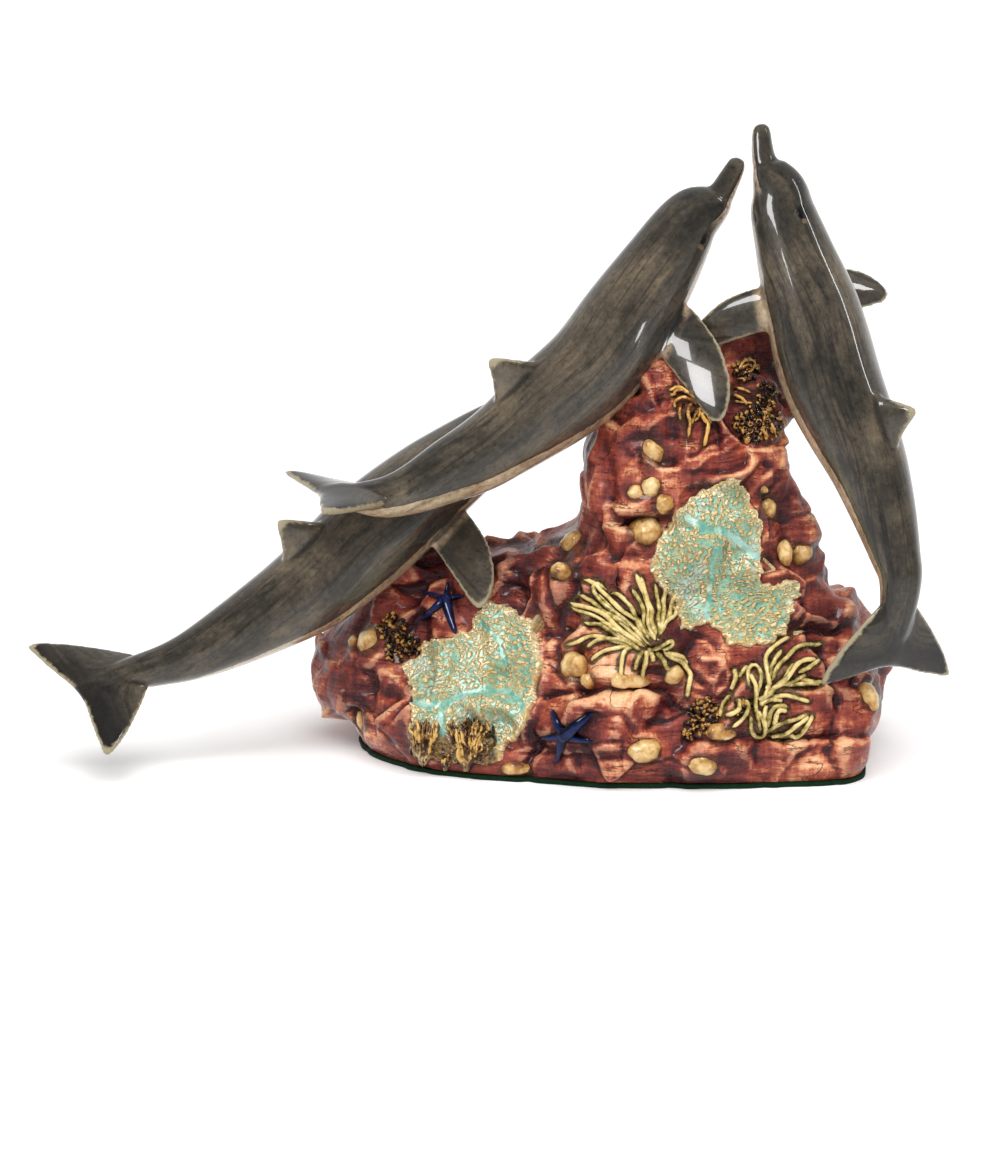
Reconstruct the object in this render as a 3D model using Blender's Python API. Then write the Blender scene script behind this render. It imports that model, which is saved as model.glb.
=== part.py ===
"""Glazed ceramic group: three dolphins leaping over a reef rock, standing on a felt pad.

The dolphins, the rock and everything modelled on the rock were joined in the clay and fired as one
piece, so they are one solid. The felt pad under the rock is a piece of its own.

X runs to the right, +Y away from the viewer and +Z up. The origin is on the table, under the middle
of the rock's foot. Free forms are written as shares of the group's height.
"""

import math

import bmesh
import bpy
import numpy as np
from mathutils import Matrix, Vector
from mathutils.bvhtree import BVHTree
from mathutils.kdtree import KDTree

# Driving dimensions, in metres.
HEIGHT = 0.285  # from the table to the tip of the upright dolphin's beak
FELT_THICKNESS = 0.0020
FELT_MARGIN = 0.0012  # how far the felt stands out past the rock's foot
GLUE_LINE = 0.0003  # between the felt and the rock's flat underside
FLIPPER_THICKNESS = 0.0062
DORSAL_FIN_THICKNESS = 0.0072
FLUKE_THICKNESS = 0.0066
CORAL_RELIEF = 0.0022  # how far a coral crust stands out from the rock
CRUST_EDGE = 0.45  # how much thinner a crust is at its edge
CRUST_ROOT = 0.0050  # how deep crusts and stars are let into the rock
SHELL_RELIEF = 0.45  # a shell's height as a share of its half width
TENTACLE_RADIUS = 0.0011
TENTACLE_LIFT = 0.9  # how far it lies off the rock, in radii
STAR_RELIEF = 0.0026
STAR_WAIST = 0.36  # the notch between two arms as a share of an arm's length

MERGE_WITHIN = 0.000001
DRAW_BACK = 0.00002  # how far corners that would touch are drawn back into the clay
SHARP_ANGLE = 24  # degrees; steeper edges between two faces stay crisp

# Mesh counts.
BODY_RINGS = 25
BODY_SIDES = 12
FIN_RINGS = 5
FIN_SIDES = 6
ROCK_RINGS = 24
ROCK_SIDES = 54
FRONT_CROWDING = 0.35  # how much closer the rock's corners stand on its front than on its back
CRUST_RINGS = 3
SHELL_RIBS, SHELL_STEPS = 7, 4

# A dolphin's body along its centreline, in shares of its own length:
# how far along, then its reach towards the back, towards the belly and to each side.
BODY_PROFILE = (
    (0.000, 0.0040, 0.0040, 0.0050),
    (0.010, 0.0120, 0.0120, 0.0125),
    (0.040, 0.0165, 0.0180, 0.0180),
    (0.066, 0.0200, 0.0240, 0.0230),
    (0.082, 0.0330, 0.0300, 0.0320),
    (0.110, 0.0480, 0.0420, 0.0450),
    (0.150, 0.0560, 0.0540, 0.0550),
    (0.230, 0.0670, 0.0670, 0.0650),
    (0.330, 0.0800, 0.0800, 0.0760),
    (0.430, 0.0860, 0.0860, 0.0820),
    (0.540, 0.0810, 0.0800, 0.0760),
    (0.640, 0.0700, 0.0690, 0.0640),
    (0.740, 0.0570, 0.0560, 0.0500),
    (0.830, 0.0430, 0.0420, 0.0360),
    (0.900, 0.0310, 0.0300, 0.0300),
    (0.950, 0.0170, 0.0160, 0.0280),
    (0.990, 0.0060, 0.0060, 0.0140),
)

# Each dolphin's centreline from the tip of the beak to the notch of the tail, in shares of the
# height, then how far its back leans towards the viewer in degrees, and its girth.
# TURN says on which side of the swimming direction the back lies as the viewer sees it.
UPPER_POSE = (
    (0.209, -0.021, 0.940, 22, 1.00),
    (0.174, -0.021, 0.880, 22, 1.00),
    (0.130, -0.025, 0.841, 24, 1.02),
    (0.088, -0.028, 0.775, 26, 1.04),
    (0.039, -0.035, 0.698, 28, 1.04),
    (-0.013, -0.042, 0.623, 28, 1.02),
    (-0.088, -0.049, 0.560, 26, 1.03),
    (-0.158, -0.060, 0.508, 24, 1.00),
    (-0.220, -0.070, 0.473, 22, 1.04),
    (-0.330, -0.102, 0.430, 12, 1.00),
    (-0.442, -0.140, 0.444, 3, 1.00),
)
LOWER_POSE = (
    (-0.062, 0.126, 0.564, 24, 1.00),
    (-0.120, 0.109, 0.528, 24, 1.02),
    (-0.188, 0.088, 0.478, 24, 1.08),
    (-0.267, 0.053, 0.423, 26, 1.06),
    (-0.357, 0.021, 0.351, 28, 1.03),
    (-0.445, -0.007, 0.276, 30, 1.00),
    (-0.538, -0.035, 0.220, 34, 0.98),
    (-0.643, -0.070, 0.171, 42, 0.94),
    (-0.747, -0.105, 0.146, 50, 0.92),
    (-0.812, -0.147, 0.126, 52, 1.00),
)
UPRIGHT_POSE = (
    (0.239, -0.028, 0.993, 44, 1.00),
    (0.245, -0.028, 0.942, 44, 0.95),
    (0.266, -0.035, 0.894, 44, 1.00),
    (0.275, -0.039, 0.855, 44, 1.00),
    (0.295, -0.049, 0.790, 44, 1.02),
    (0.319, -0.067, 0.715, 44, 1.04),
    (0.350, -0.098, 0.605, 44, 1.03),
    (0.403, -0.147, 0.481, 46, 1.00),
    (0.438, -0.189, 0.366, 50, 0.96),
    (0.447, -0.203, 0.306, 56, 0.96),
    (0.433, -0.184, 0.176, 66, 1.04),
)

# A fin's outline in shares of its span: how far out, its leading and its trailing edge measured
# along the body from the middle of its root, and the share of its thickness left there.
FLIPPER_OUTLINE = (
    (-0.16, 0.300, -0.300, 1.30),
    (0.06, 0.290, -0.310, 1.05),
    (0.28, 0.240, -0.360, 0.90),
    (0.52, 0.150, -0.420, 0.78),
    (0.76, -0.010, -0.490, 0.66),
    (0.91, -0.170, -0.520, 0.52),
    (1.00, -0.360, -0.480, 0.30),
)
DORSAL_FIN_OUTLINE = (
    (-0.35, 0.960, -0.820, 1.40),
    (0.05, 0.740, -0.690, 1.10),
    (0.35, 0.490, -0.530, 0.90),
    (0.65, 0.240, -0.400, 0.72),
    (0.88, 0.030, -0.310, 0.56),
    (1.00, -0.100, -0.240, 0.34),
)
FLUKE_OUTLINE = (
    (-0.06, 1.060, 0.020, 1.60),
    (0.16, 1.020, 0.000, 1.35),
    (0.38, 0.800, -0.060, 1.00),
    (0.60, 0.540, -0.120, 0.78),
    (0.80, 0.270, -0.160, 0.62),
    (0.93, 0.050, -0.190, 0.48),
    (1.00, -0.110, -0.180, 0.28),
)
DORSAL_FIN_SPAN = 0.070
DORSAL_FIN_SUNK = 0.94  # its root's height as a share of the back's height there
FLIPPER_AT = 0.310  # along the body
FLIPPER_SPAN = 0.165
FLIPPER_SET = 40  # degrees below the side of the body where a flipper grows
FLUKE_AT = 0.995
FLUKE_SPAN = 0.128

# For each dolphin: its pose, which side its back lies on, where along it the fin stands, and how
# its flippers are held. A flipper is a side (+1 is the dolphin's left), its droop below the side in
# degrees, its sweep back in degrees and its span as a share of the usual one.
DOLPHINS = (
    ("upper", UPPER_POSE, 1, 0.560, ((-1, 40, 4, 1.00), (1, 43, 4, 1.00))),
    ("lower", LOWER_POSE, 1, 0.515, ((-1, 34, -6, 0.88), (1, 42, 0, 0.84))),
    ("upright", UPRIGHT_POSE, -1, 0.575, ((1, 65, -16, 0.82), (-1, -14, -18, 0.95))),
)

# The rock by levels, in shares of the height: how high, then its reach to the left, right, front
# and back, and how square its left and right ends are (2 is an ellipse).
ROCK_LEVELS = (
    (0.000, -0.386, 0.412, -0.222, 0.232, 2.2, 7.0),
    (0.022, -0.414, 0.424, -0.236, 0.246, 2.2, 7.0),
    (0.055, -0.450, 0.434, -0.240, 0.252, 2.2, 6.0),
    (0.098, -0.470, 0.444, -0.232, 0.252, 2.2, 5.0),
    (0.140, -0.452, 0.442, -0.216, 0.246, 2.3, 4.2),
    (0.180, -0.414, 0.424, -0.198, 0.235, 2.4, 3.8),
    (0.220, -0.380, 0.400, -0.181, 0.222, 2.5, 3.6),
    (0.250, -0.336, 0.378, -0.169, 0.208, 2.6, 3.4),
    (0.274, -0.336, 0.366, -0.161, 0.193, 2.8, 3.2),
    (0.291, -0.256, 0.356, -0.156, 0.182, 3.0, 3.2),
    (0.309, -0.116, 0.342, -0.152, 0.174, 3.2, 3.2),
    (0.340, -0.040, 0.326, -0.150, 0.166, 3.4, 3.2),
    (0.385, -0.030, 0.304, -0.146, 0.154, 3.4, 3.2),
    (0.430, -0.032, 0.290, -0.138, 0.142, 3.3, 3.1),
    (0.475, -0.026, 0.284, -0.127, 0.128, 3.1, 3.0),
    (0.520, -0.002, 0.292, -0.112, 0.112, 2.9, 2.9),
    (0.562, 0.016, 0.300, -0.095, 0.094, 2.7, 2.7),
    (0.602, 0.052, 0.282, -0.074, 0.074, 2.5, 2.5),
    (0.636, 0.094, 0.264, -0.050, 0.052, 2.3, 2.3),
    (0.662, 0.166, 0.248, -0.022, 0.024, 2.0, 2.0),
)
ROCK_BEND = 0.18  # how much the reef's left end turns away from the viewer
ROCK_BEND_FROM = -0.035
LEDGE_SLOPE = 2.1  # how fast the front of the left ledge falls back as it rises
LEDGE_SET_BACK = 0.10  # how much shallower it is at its foot
LEDGE_TOP = 0.29
LEDGE_FROM, LEDGE_TO = 0.02, -0.18  # where that slope sets in, from right to left
ROCK_CALM_BELOW = 0.06  # below about this height the chopped faces grow shallow
ROCK_FOOT_CALM = 0.35  # the share of their depth left at the foot
ROCK_LIP = 0.006  # nothing above the flat foot comes lower than this

# The rock's chopped faces: each layer has its cell size and its depth as shares of the height.
ROCK_FACETS = ((0.120, 0.022, 3), (0.062, 0.017, 8))
FACET_SHARPNESS = 16.0
FACET_TILT = 2.2

# A place on the rock is written as (x, z), in shares of the height: where the line to it from an
# eye in front, a little above, crosses the upright plane through the origin. Places on the back
# are read the same way from the eye's mirror image behind.
EYE = (-0.158, -4.805, 1.292)

# Ledges and clefts on the front: a line through such places, its half width and its depth.
ROCK_CLEFTS = (
    (((-0.091, 0.083), (-0.008, 0.089), (0.066, 0.099), (0.103, 0.094), (0.122, 0.068)), 0.012, 0.013),
    (((0.145, 0.007), (0.289, 0.012), (0.436, 0.016)), 0.010, 0.010),
    (((0.311, 0.197), (0.384, 0.194)), 0.014, 0.016),
    (((-0.428, 0.112), (-0.317, 0.083)), 0.012, 0.010),
    (((-0.024, 0.359), (0.015, 0.310), (0.075, 0.301)), 0.012, 0.012),
    (((-0.087, 0.181), (0.000, 0.197)), 0.012, 0.012),
    (((0.272, 0.099), (0.399, 0.109), (0.453, 0.099)), 0.012, 0.012),
    (((-0.002, 0.502), (0.009, 0.406)), 0.013, 0.012),
    (((0.091, 0.578), (0.111, 0.502)), 0.012, 0.012),
)
CLEFT_FADE = 0.08  # clefts reach their full depth this far forward of the middle

# Coral crusts, as outlines of such places.
PILLAR_CORAL = (
    (0.203, 0.443), (0.234, 0.422), (0.254, 0.368), (0.255, 0.299), (0.317, 0.275), (0.309, 0.212),
    (0.267, 0.170), (0.191, 0.181), (0.170, 0.202), (0.127, 0.194), (0.119, 0.239), (0.080, 0.294),
    (0.091, 0.359), (0.139, 0.413),
)
FOOT_CORAL = (
    (-0.175, 0.246), (-0.110, 0.217), (-0.086, 0.157), (-0.094, 0.083), (-0.126, 0.024),
    (-0.171, -0.020), (-0.238, -0.015), (-0.298, 0.008), (-0.303, 0.058), (-0.314, 0.134),
    (-0.277, 0.184), (-0.209, 0.199),
)
BACK_CORAL = (
    (0.020, 0.300), (0.150, 0.330), (0.205, 0.240), (0.180, 0.140), (0.080, 0.100),
    (-0.010, 0.130), (-0.040, 0.215),
)

# Shells as (x, z, half width); those in the second list are on the back.
FRONT_SHELLS = (
    (-0.369, 0.183, 0.021), (-0.379, 0.050, 0.014), (-0.045, 0.339, 0.022), (-0.059, 0.296, 0.021),
    (-0.044, 0.140, 0.022), (-0.020, 0.114, 0.013), (0.080, 0.481, 0.019), (0.054, 0.419, 0.011),
    (0.079, 0.427, 0.014), (0.098, 0.400, 0.015), (0.069, 0.359, 0.025), (0.119, 0.124, 0.015),
    (0.074, -0.001, 0.022), (0.195, 0.025, 0.017), (0.167, -0.026, 0.021), (0.265, 0.394, 0.016),
    (0.289, 0.326, 0.016), (0.315, 0.322, 0.017), (0.432, 0.091, 0.017),
)
BACK_SHELLS = (
    (-0.250, 0.150, 0.024), (-0.180, 0.090, 0.020), (0.290, 0.200, 0.024), (0.250, 0.420, 0.020),
)

# Starfish as (x, z, arm length, turn in degrees).
FRONT_STARS = ((-0.246, 0.245, 0.040, 10), (-0.056, 0.025, 0.045, 18))
BACK_STARS = ((-0.100, 0.230, 0.042, 40),)

# Anemones as (x, z, arm length, first and last angle in degrees, arms, bend in degrees).
FRONT_ANEMONES = (
    (0.077, 0.165, 0.125, 98, 180, 5, 14),
    (0.080, 0.155, 0.078, 225, 315, 2, -22),
    (0.257, 0.045, 0.150, 28, 120, 5, -20),
    (0.138, 0.590, 0.080, 250, 290, 2, 16),
)
BACK_ANEMONES = ((-0.020, 0.330, 0.110, 60, 130, 2, 16),)
ANEMONE_STEPS = 3
ANEMONE_CORE = 0.006  # how far from its middle its arms grow
ANEMONE_UNEVEN = 0.18  # how much the arms differ in length
GOLDEN_TURN = 2.4  # radians, so that no two arms beside each other are alike


def resample(rows, shares):
    """Rows of numbers read at shares of the way along them, on a smooth curve through every row."""
    rows = np.asarray(rows, float)
    knots = np.arange(len(rows), dtype=float)
    slopes = np.gradient(rows, axis=0)
    at = np.clip(np.asarray(shares, float), 0.0, 1.0) * (len(rows) - 1)
    low = np.minimum(at.astype(int), len(rows) - 2)
    t = (at - knots[low])[:, None]
    return (
        (2 * t**3 - 3 * t**2 + 1) * rows[low]
        + (t**3 - 2 * t**2 + t) * slopes[low]
        + (3 * t**2 - 2 * t**3) * rows[low + 1]
        + (t**3 - t**2) * slopes[low + 1]
    )


def unit(vectors):
    return vectors / np.linalg.norm(vectors, axis=-1, keepdims=True)


class Dolphin:
    """A body bent along its pose. frame(share) gives the centre there and three directions."""

    FINE = 400

    def __init__(self, pose, turn):
        fine = resample(pose, np.linspace(0.0, 1.0, self.FINE))
        self.centre = fine[:, :3] * HEIGHT
        steps = np.linalg.norm(np.diff(self.centre, axis=0), axis=1)
        self.length = steps.sum()
        self.share = np.concatenate([[0.0], np.cumsum(steps)]) / self.length
        self.girth = fine[:, 4]
        forward = -unit(np.gradient(self.centre, axis=0))
        seen = unit(np.stack([-forward[:, 2], 0 * forward[:, 1], forward[:, 0]], axis=1)) * turn
        lean = np.radians(fine[:, 3])[:, None]
        back = np.cos(lean) * seen + np.sin(lean) * np.array([0.0, -1.0, 0.0])
        back -= (back * forward).sum(axis=1, keepdims=True) * forward
        self.forward = forward
        self.back = unit(back)
        self.left = np.cross(self.back, forward)

    def at(self, values, share):
        columns = np.atleast_2d(values.T)
        return np.stack([np.interp(share, self.share, column) for column in columns], axis=-1)

    def frame(self, share):
        """Centre, forward, back and left directions at a share of the length from the beak."""
        directions = (self.forward, self.back, self.left)
        return (self.at(self.centre, share), *(unit(self.at(d, share)) for d in directions))

    def reach(self, share):
        """How far the body reaches to the back, to the belly and to each side, in metres."""
        profile = np.array(BODY_PROFILE)
        girth = self.at(self.girth, share)
        columns = [np.interp(share, profile[:, 0], profile[:, k]) for k in (1, 2, 3)]
        return [np.asarray(column) * self.length * girth[..., 0] for column in columns]


def body_rings(dolphin):
    """Closed rings round the body, closer together at the head and the tail."""
    profile = np.array(BODY_PROFILE)
    share = resample(profile[:, :1], np.linspace(0.0, 1.0, BODY_RINGS))[:, 0]
    centre, _, back, left = dolphin.frame(share)
    to_back, to_belly, to_side = dolphin.reach(share)
    angle = np.linspace(0.0, 2 * math.pi, BODY_SIDES, endpoint=False)
    up, across = np.cos(angle), np.sin(angle)
    height = np.where(up > 0, to_back[:, None], to_belly[:, None]) * up
    width = to_side[:, None] * across
    return centre[:, None] + height[..., None] * back[:, None] + width[..., None] * left[:, None]


def fin_rings(root, out, forward, span, outline, thickness):
    """Rounded-edge sections of a fin from inside the body to its tip."""
    outline = resample(outline, np.linspace(0.0, 1.0, FIN_RINGS))
    across = unit(np.cross(out, forward))
    chord_way = unit(np.cross(across, out))
    angle = np.linspace(0.0, 2 * math.pi, FIN_SIDES, endpoint=False)
    rings = []
    for reach, leading, trailing, share in outline:
        middle = root + out * reach * span + chord_way * (leading + trailing) / 2 * span
        half = (leading - trailing) / 2 * span
        chord = chord_way * half * np.cos(angle)[:, None]
        rings.append(middle + chord + across * thickness / 2 * share * np.sin(angle)[:, None])
    return np.array(rings)


def dorsal_fin_rings(dolphin, share):
    centre, forward, back, _ = dolphin.frame(share)
    to_back = dolphin.reach(share)[0]
    span = DORSAL_FIN_SPAN * dolphin.length
    root = centre + back * to_back * DORSAL_FIN_SUNK
    return fin_rings(root, back, forward, span, DORSAL_FIN_OUTLINE, DORSAL_FIN_THICKNESS)


def flipper_rings(dolphin, side, droop, sweep, stretch):
    """A flipper grows low on the side of the chest, droops below it and sweeps back."""
    centre, forward, back, left = dolphin.frame(FLIPPER_AT)
    _, to_belly, to_side = dolphin.reach(FLIPPER_AT)
    low = math.radians(FLIPPER_SET)
    root = centre + left * side * to_side * math.cos(low) - back * to_belly * math.sin(low)
    droop, sweep = math.radians(droop), math.radians(sweep)
    out = unit(left * side * math.cos(droop) - back * math.sin(droop) - forward * math.tan(sweep))
    span = FLIPPER_SPAN * stretch * dolphin.length
    return fin_rings(root, out, forward, span, FLIPPER_OUTLINE, FLIPPER_THICKNESS)


def fluke_rings(dolphin, side):
    centre, forward, _, left = dolphin.frame(FLUKE_AT)
    span = FLUKE_SPAN * dolphin.length
    return fin_rings(centre, left * side, forward, span, FLUKE_OUTLINE, FLUKE_THICKNESS)


def hashed(cells, seed):
    """Three even random numbers for each whole-number cell, the same each time."""
    mixed = (cells * np.array([127.1, 311.7, 74.7])).sum(axis=-1, keepdims=True) + seed * 19.19
    return np.modf(np.abs(np.sin(mixed + np.array([0.0, 57.3, 113.9])) * 43758.5453))[0]


def facets(points, cell, seed):
    """Tilted planes, one for each cell of a jittered grid, blended over a narrow line between."""
    scaled = points / cell
    base = np.floor(scaled)
    total = np.zeros(len(points))
    weight = np.zeros(len(points))
    for corner in np.ndindex(3, 3, 3):
        grid = base + np.array(corner) - 1.0
        away = scaled - (grid + hashed(grid, seed))
        plane = ((hashed(grid, seed + 5) - 0.5) * FACET_TILT * away).sum(axis=-1)
        plane += hashed(grid, seed + 9)[..., 0] - 0.5
        share = np.exp(-FACET_SHARPNESS * (away**2).sum(axis=-1))
        total += share * plane
        weight += share
    return total / (weight + 1e-12)


def line_distance(points, line):
    """Distance from each point, as the eye in front places it, to a line through (x, z) places."""
    nearest = np.full(len(points), np.inf)
    eye = np.array(EYE)
    toward = eye[1] / (eye[1] - points[:, 1:2])
    flat = (eye + (points - eye) * toward)[:, [0, 2]]
    for start, end in zip(line[:-1], line[1:]):
        start, step = np.array(start), np.array(end) - np.array(start)
        along = np.clip(((flat - start) @ step) / (step @ step), 0.0, 1.0)
        away = np.linalg.norm(flat - start - along[:, None] * step, axis=1)
        nearest = np.minimum(nearest, away)
    return nearest


def rock_relief(points):
    """How far the surface stands out or in, as shares of the height: chopped faces and clefts."""
    relief = sum(depth * facets(points, cell, seed) for cell, depth, seed in ROCK_FACETS)
    front = np.clip(-points[:, 1] / CLEFT_FADE, 0.0, 1.0)
    for line, half_width, depth in ROCK_CLEFTS:
        relief -= front * depth * np.exp(-((line_distance(points, line) / half_width) ** 2))
    return relief


def rock_grid(rings, sides):
    """The rock's surface as rings of points, from its foot to its crown."""
    levels = resample(ROCK_LEVELS, np.linspace(0.0, 1.0, rings))
    height, left, right, front, behind, left_square, right_square = levels.T[:, :, None]
    even = np.linspace(0.0, 2 * math.pi, sides, endpoint=False)[None]
    angle = even - FRONT_CROWDING * np.cos(even)
    across, along = np.cos(angle), np.sin(angle)
    square = left_square + (right_square - left_square) * (1 + across) / 2
    reach = (np.abs(across) ** square + np.abs(along) ** square) ** (-1 / square)
    x = (left + right) / 2 + (right - left) / 2 * reach * across
    y_middle = (front + behind) / 2
    y = y_middle + (behind - front) / 2 * reach * along
    on_ledge = np.clip((LEDGE_FROM - x) / (LEDGE_FROM - LEDGE_TO), 0.0, 1.0)
    fall = (LEDGE_SET_BACK + LEDGE_SLOPE * np.minimum(height, LEDGE_TOP)) * on_ledge
    y = y_middle + (y - y_middle) * np.where(along < 0, 1.0 - fall, 1.0)
    y = y + ROCK_BEND * np.maximum(0.0, ROCK_BEND_FROM - x)
    grid = np.stack([x, y, height + 0 * x], axis=-1)
    ring_way = np.roll(grid, -1, axis=1) - np.roll(grid, 1, axis=1)
    normal = unit(np.cross(ring_way, np.gradient(grid, axis=0)))
    relief = rock_relief(grid.reshape(-1, 3)).reshape(rings, sides, 1)
    relief *= np.clip(ROCK_FOOT_CALM + grid[..., 2:] / ROCK_CALM_BELOW, 0.0, 1.0)
    grid = grid + relief * normal
    grid[0, :, 2] = 0.0
    grid[1:, :, 2] = np.maximum(grid[1:, :, 2], ROCK_LIP)
    seat = np.array([0.0, 0.0, FELT_THICKNESS + GLUE_LINE])
    return grid * HEIGHT + seat


def mesh_object(name, mesh, folder):
    made = bpy.data.objects.new(name, mesh)
    folder.objects.link(made)
    return made


def loft(name, rings, folder):
    """A closed body through rings of points, with its normals turned outwards."""
    body = bmesh.new()
    loops = [[body.verts.new(point) for point in ring] for ring in rings]
    count = len(loops[0])
    for low, high in zip(loops[:-1], loops[1:]):
        for k in range(count):
            near = (k + 1) % count
            body.faces.new((low[k], low[near], high[near], high[k]))
    body.faces.new(loops[0][::-1])
    body.faces.new(loops[-1])
    bmesh.ops.recalc_face_normals(body, faces=body.faces)
    mesh = bpy.data.meshes.new(name)
    body.to_mesh(mesh)
    body.free()
    return mesh_object(name, mesh, folder)


class Face:
    """The rock seen from the front or from behind, for setting things on its surface."""

    def __init__(self, rock, behind=False):
        graph = bpy.context.evaluated_depsgraph_get()
        self.tree = BVHTree.FromObject(rock, graph)
        self.eye = Vector(EYE) * HEIGHT
        if behind:
            self.eye.y = -self.eye.y

    def seat(self, x, z):
        """The surface point at a place, its outward normal, and the way the eye looks there."""
        target = Vector((x * HEIGHT, 0.0, z * HEIGHT))
        way = (target - self.eye).normalized()
        point, normal, _, _ = self.tree.ray_cast(self.eye, way)
        if point is None:
            point, normal, _, _ = self.tree.find_nearest(target)
        return point, (-normal if normal.dot(way) > 0 else normal), way


def crust(name, outline, relief, face, folder):
    """A thin crust that follows the rock inside its outline, let into the rock behind."""
    outline = np.array(outline)
    middle = outline.mean(axis=0)
    fronts, backs = [], []
    for step in range(1, CRUST_RINGS + 1):
        share = step / CRUST_RINGS
        spots = middle + (outline - middle) * share
        seats = [face.seat(x, z) for x, z in spots]
        lift = relief * (1.0 - CRUST_EDGE * share**4)
        fronts.append([point + normal * lift for point, normal, _ in seats])
        backs.append([point + way * CRUST_ROOT for point, _, way in seats])
    return loft(name, [*fronts, *backs[::-1]], folder)


def star_outline(x, z, length, turn):
    """The ten corners of a starfish."""
    corners = []
    for corner in range(10):
        angle = math.radians(turn + 36 * corner)
        reach = length * (STAR_WAIST if corner % 2 else 1.0)
        corners.append((x + reach * math.cos(angle), z + reach * math.sin(angle)))
    return corners


def shell(name, place, face, folder):
    """A low dome, half let into the rock."""
    x, z, half = place
    point, normal, _ = face.seat(x, z)
    body = bmesh.new()
    bmesh.ops.create_uvsphere(
        body, u_segments=SHELL_RIBS, v_segments=SHELL_STEPS, radius=half * HEIGHT
    )
    squash = Matrix.Diagonal((1.0, 1.0, SHELL_RELIEF, 1.0))
    turn = normal.to_track_quat("Z", "Y").to_matrix().to_4x4()
    body.transform(Matrix.Translation(point) @ turn @ squash)
    mesh = bpy.data.meshes.new(name)
    body.to_mesh(mesh)
    body.free()
    return mesh_object(name, mesh, folder)


def tentacle(name, start, angle, length, bend, face, folder):
    """An arm of an anemone: a tapering tube that lies on the rock and curls to one side."""
    x, z = start
    line = []
    for step in range(ANEMONE_STEPS + 1):
        share = step / ANEMONE_STEPS
        point, normal, _ = face.seat(x, z)
        line.append(point + normal * TENTACLE_RADIUS * (TENTACLE_LIFT if step else 0.0))
        heading = math.radians(angle + bend * share)
        x += length / ANEMONE_STEPS * math.cos(heading)
        z += length / ANEMONE_STEPS * math.sin(heading)
    curve = bpy.data.curves.new(name, "CURVE")
    curve.dimensions = "3D"
    curve.bevel_depth = TENTACLE_RADIUS
    curve.bevel_resolution = 0
    curve.use_fill_caps = True
    spline = curve.splines.new("POLY")
    spline.points.add(len(line) - 1)
    for spot, place in zip(spline.points, line):
        spot.co = (*place, 1.0)
    guide = bpy.data.objects.new(name, curve)
    folder.objects.link(guide)
    graph = bpy.context.evaluated_depsgraph_get()
    mesh = bpy.data.meshes.new_from_object(guide.evaluated_get(graph))
    bpy.data.objects.remove(guide)
    body = bmesh.new()
    body.from_mesh(mesh)
    bmesh.ops.remove_doubles(body, verts=body.verts, dist=MERGE_WITHIN)
    bmesh.ops.recalc_face_normals(body, faces=body.faces)
    body.to_mesh(mesh)
    body.free()
    return mesh_object(name, mesh, folder)


def anemone(name, place, face, folder):
    """A fan of tentacles from one root."""
    x, z, length, first, last, arms, bend = place
    made = []
    for arm in range(arms):
        share = arm / (arms - 1)
        angle = first + (last - first) * share
        reach = length * (1.0 - ANEMONE_UNEVEN * (1.0 - math.cos(arm * GOLDEN_TURN)))
        start = (x + ANEMONE_CORE * math.cos(arm), z + ANEMONE_CORE * math.sin(arm))
        side = bend * (1 if arm % 2 else -1)
        made.append(tentacle(f"{name}_{arm}", start, angle, reach, side, face, folder))
    return made


def glaze(name, colour, roughness):
    material = bpy.data.materials.new(name)
    material.use_nodes = True
    shader = material.node_tree.nodes["Principled BSDF"]
    shader.inputs["Base Color"].default_value = (*colour, 1.0)
    shader.inputs["Roughness"].default_value = roughness
    return material


def folder_for(name):
    folder = bpy.data.collections.new(name)
    bpy.context.scene.collection.children.link(folder)
    return folder


def joined(whole, others):
    """Fuses each of the others into the whole by a Boolean union, and bakes the result."""
    for other in others:
        union = whole.modifiers.new(other.name, "BOOLEAN")
        union.operation = "UNION"
        union.solver = "MANIFOLD"
        union.object = other
        graph = bpy.context.evaluated_depsgraph_get()
        fused = bpy.data.meshes.new_from_object(whole.evaluated_get(graph))
        whole.modifiers.remove(union)
        whole.data = fused
        bpy.data.objects.remove(other)
    return whole


def keep_outer_skin(whole):
    """Drops the skins of small hollows closed off between fused pieces, so the clay fills them."""
    body = bmesh.new()
    body.from_mesh(whole.data)
    left = set(body.faces)
    skins = []
    while left:
        reached = [left.pop()]
        skin = list(reached)
        while reached:
            edges = reached.pop().edges
            near = {face for edge in edges for face in edge.link_faces} & left
            left -= near
            reached += near
            skin += near
        skins.append(skin)
    outer = max(skins, key=len)
    inner = [face for skin in skins if skin is not outer for face in skin]
    bmesh.ops.delete(body, geom=inner, context="FACES")
    body.to_mesh(whole.data)
    body.free()


def free_touching_corners(whole):
    """Drops edges of no length, and draws corners that meet at one point back into the clay."""
    body = bmesh.new()
    body.from_mesh(whole.data)
    bmesh.ops.dissolve_degenerate(body, dist=MERGE_WITHIN, edges=body.edges)
    body.verts.index_update()
    tree = KDTree(len(body.verts))
    for corner in body.verts:
        tree.insert(corner.co, corner.index)
    tree.balance()
    touching = [v for v in body.verts if len(tree.find_range(v.co, MERGE_WITHIN)) > 1]
    body.normal_update()
    for corner in touching:
        corner.co -= corner.normal * DRAW_BACK
    body.to_mesh(whole.data)
    body.free()


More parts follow.
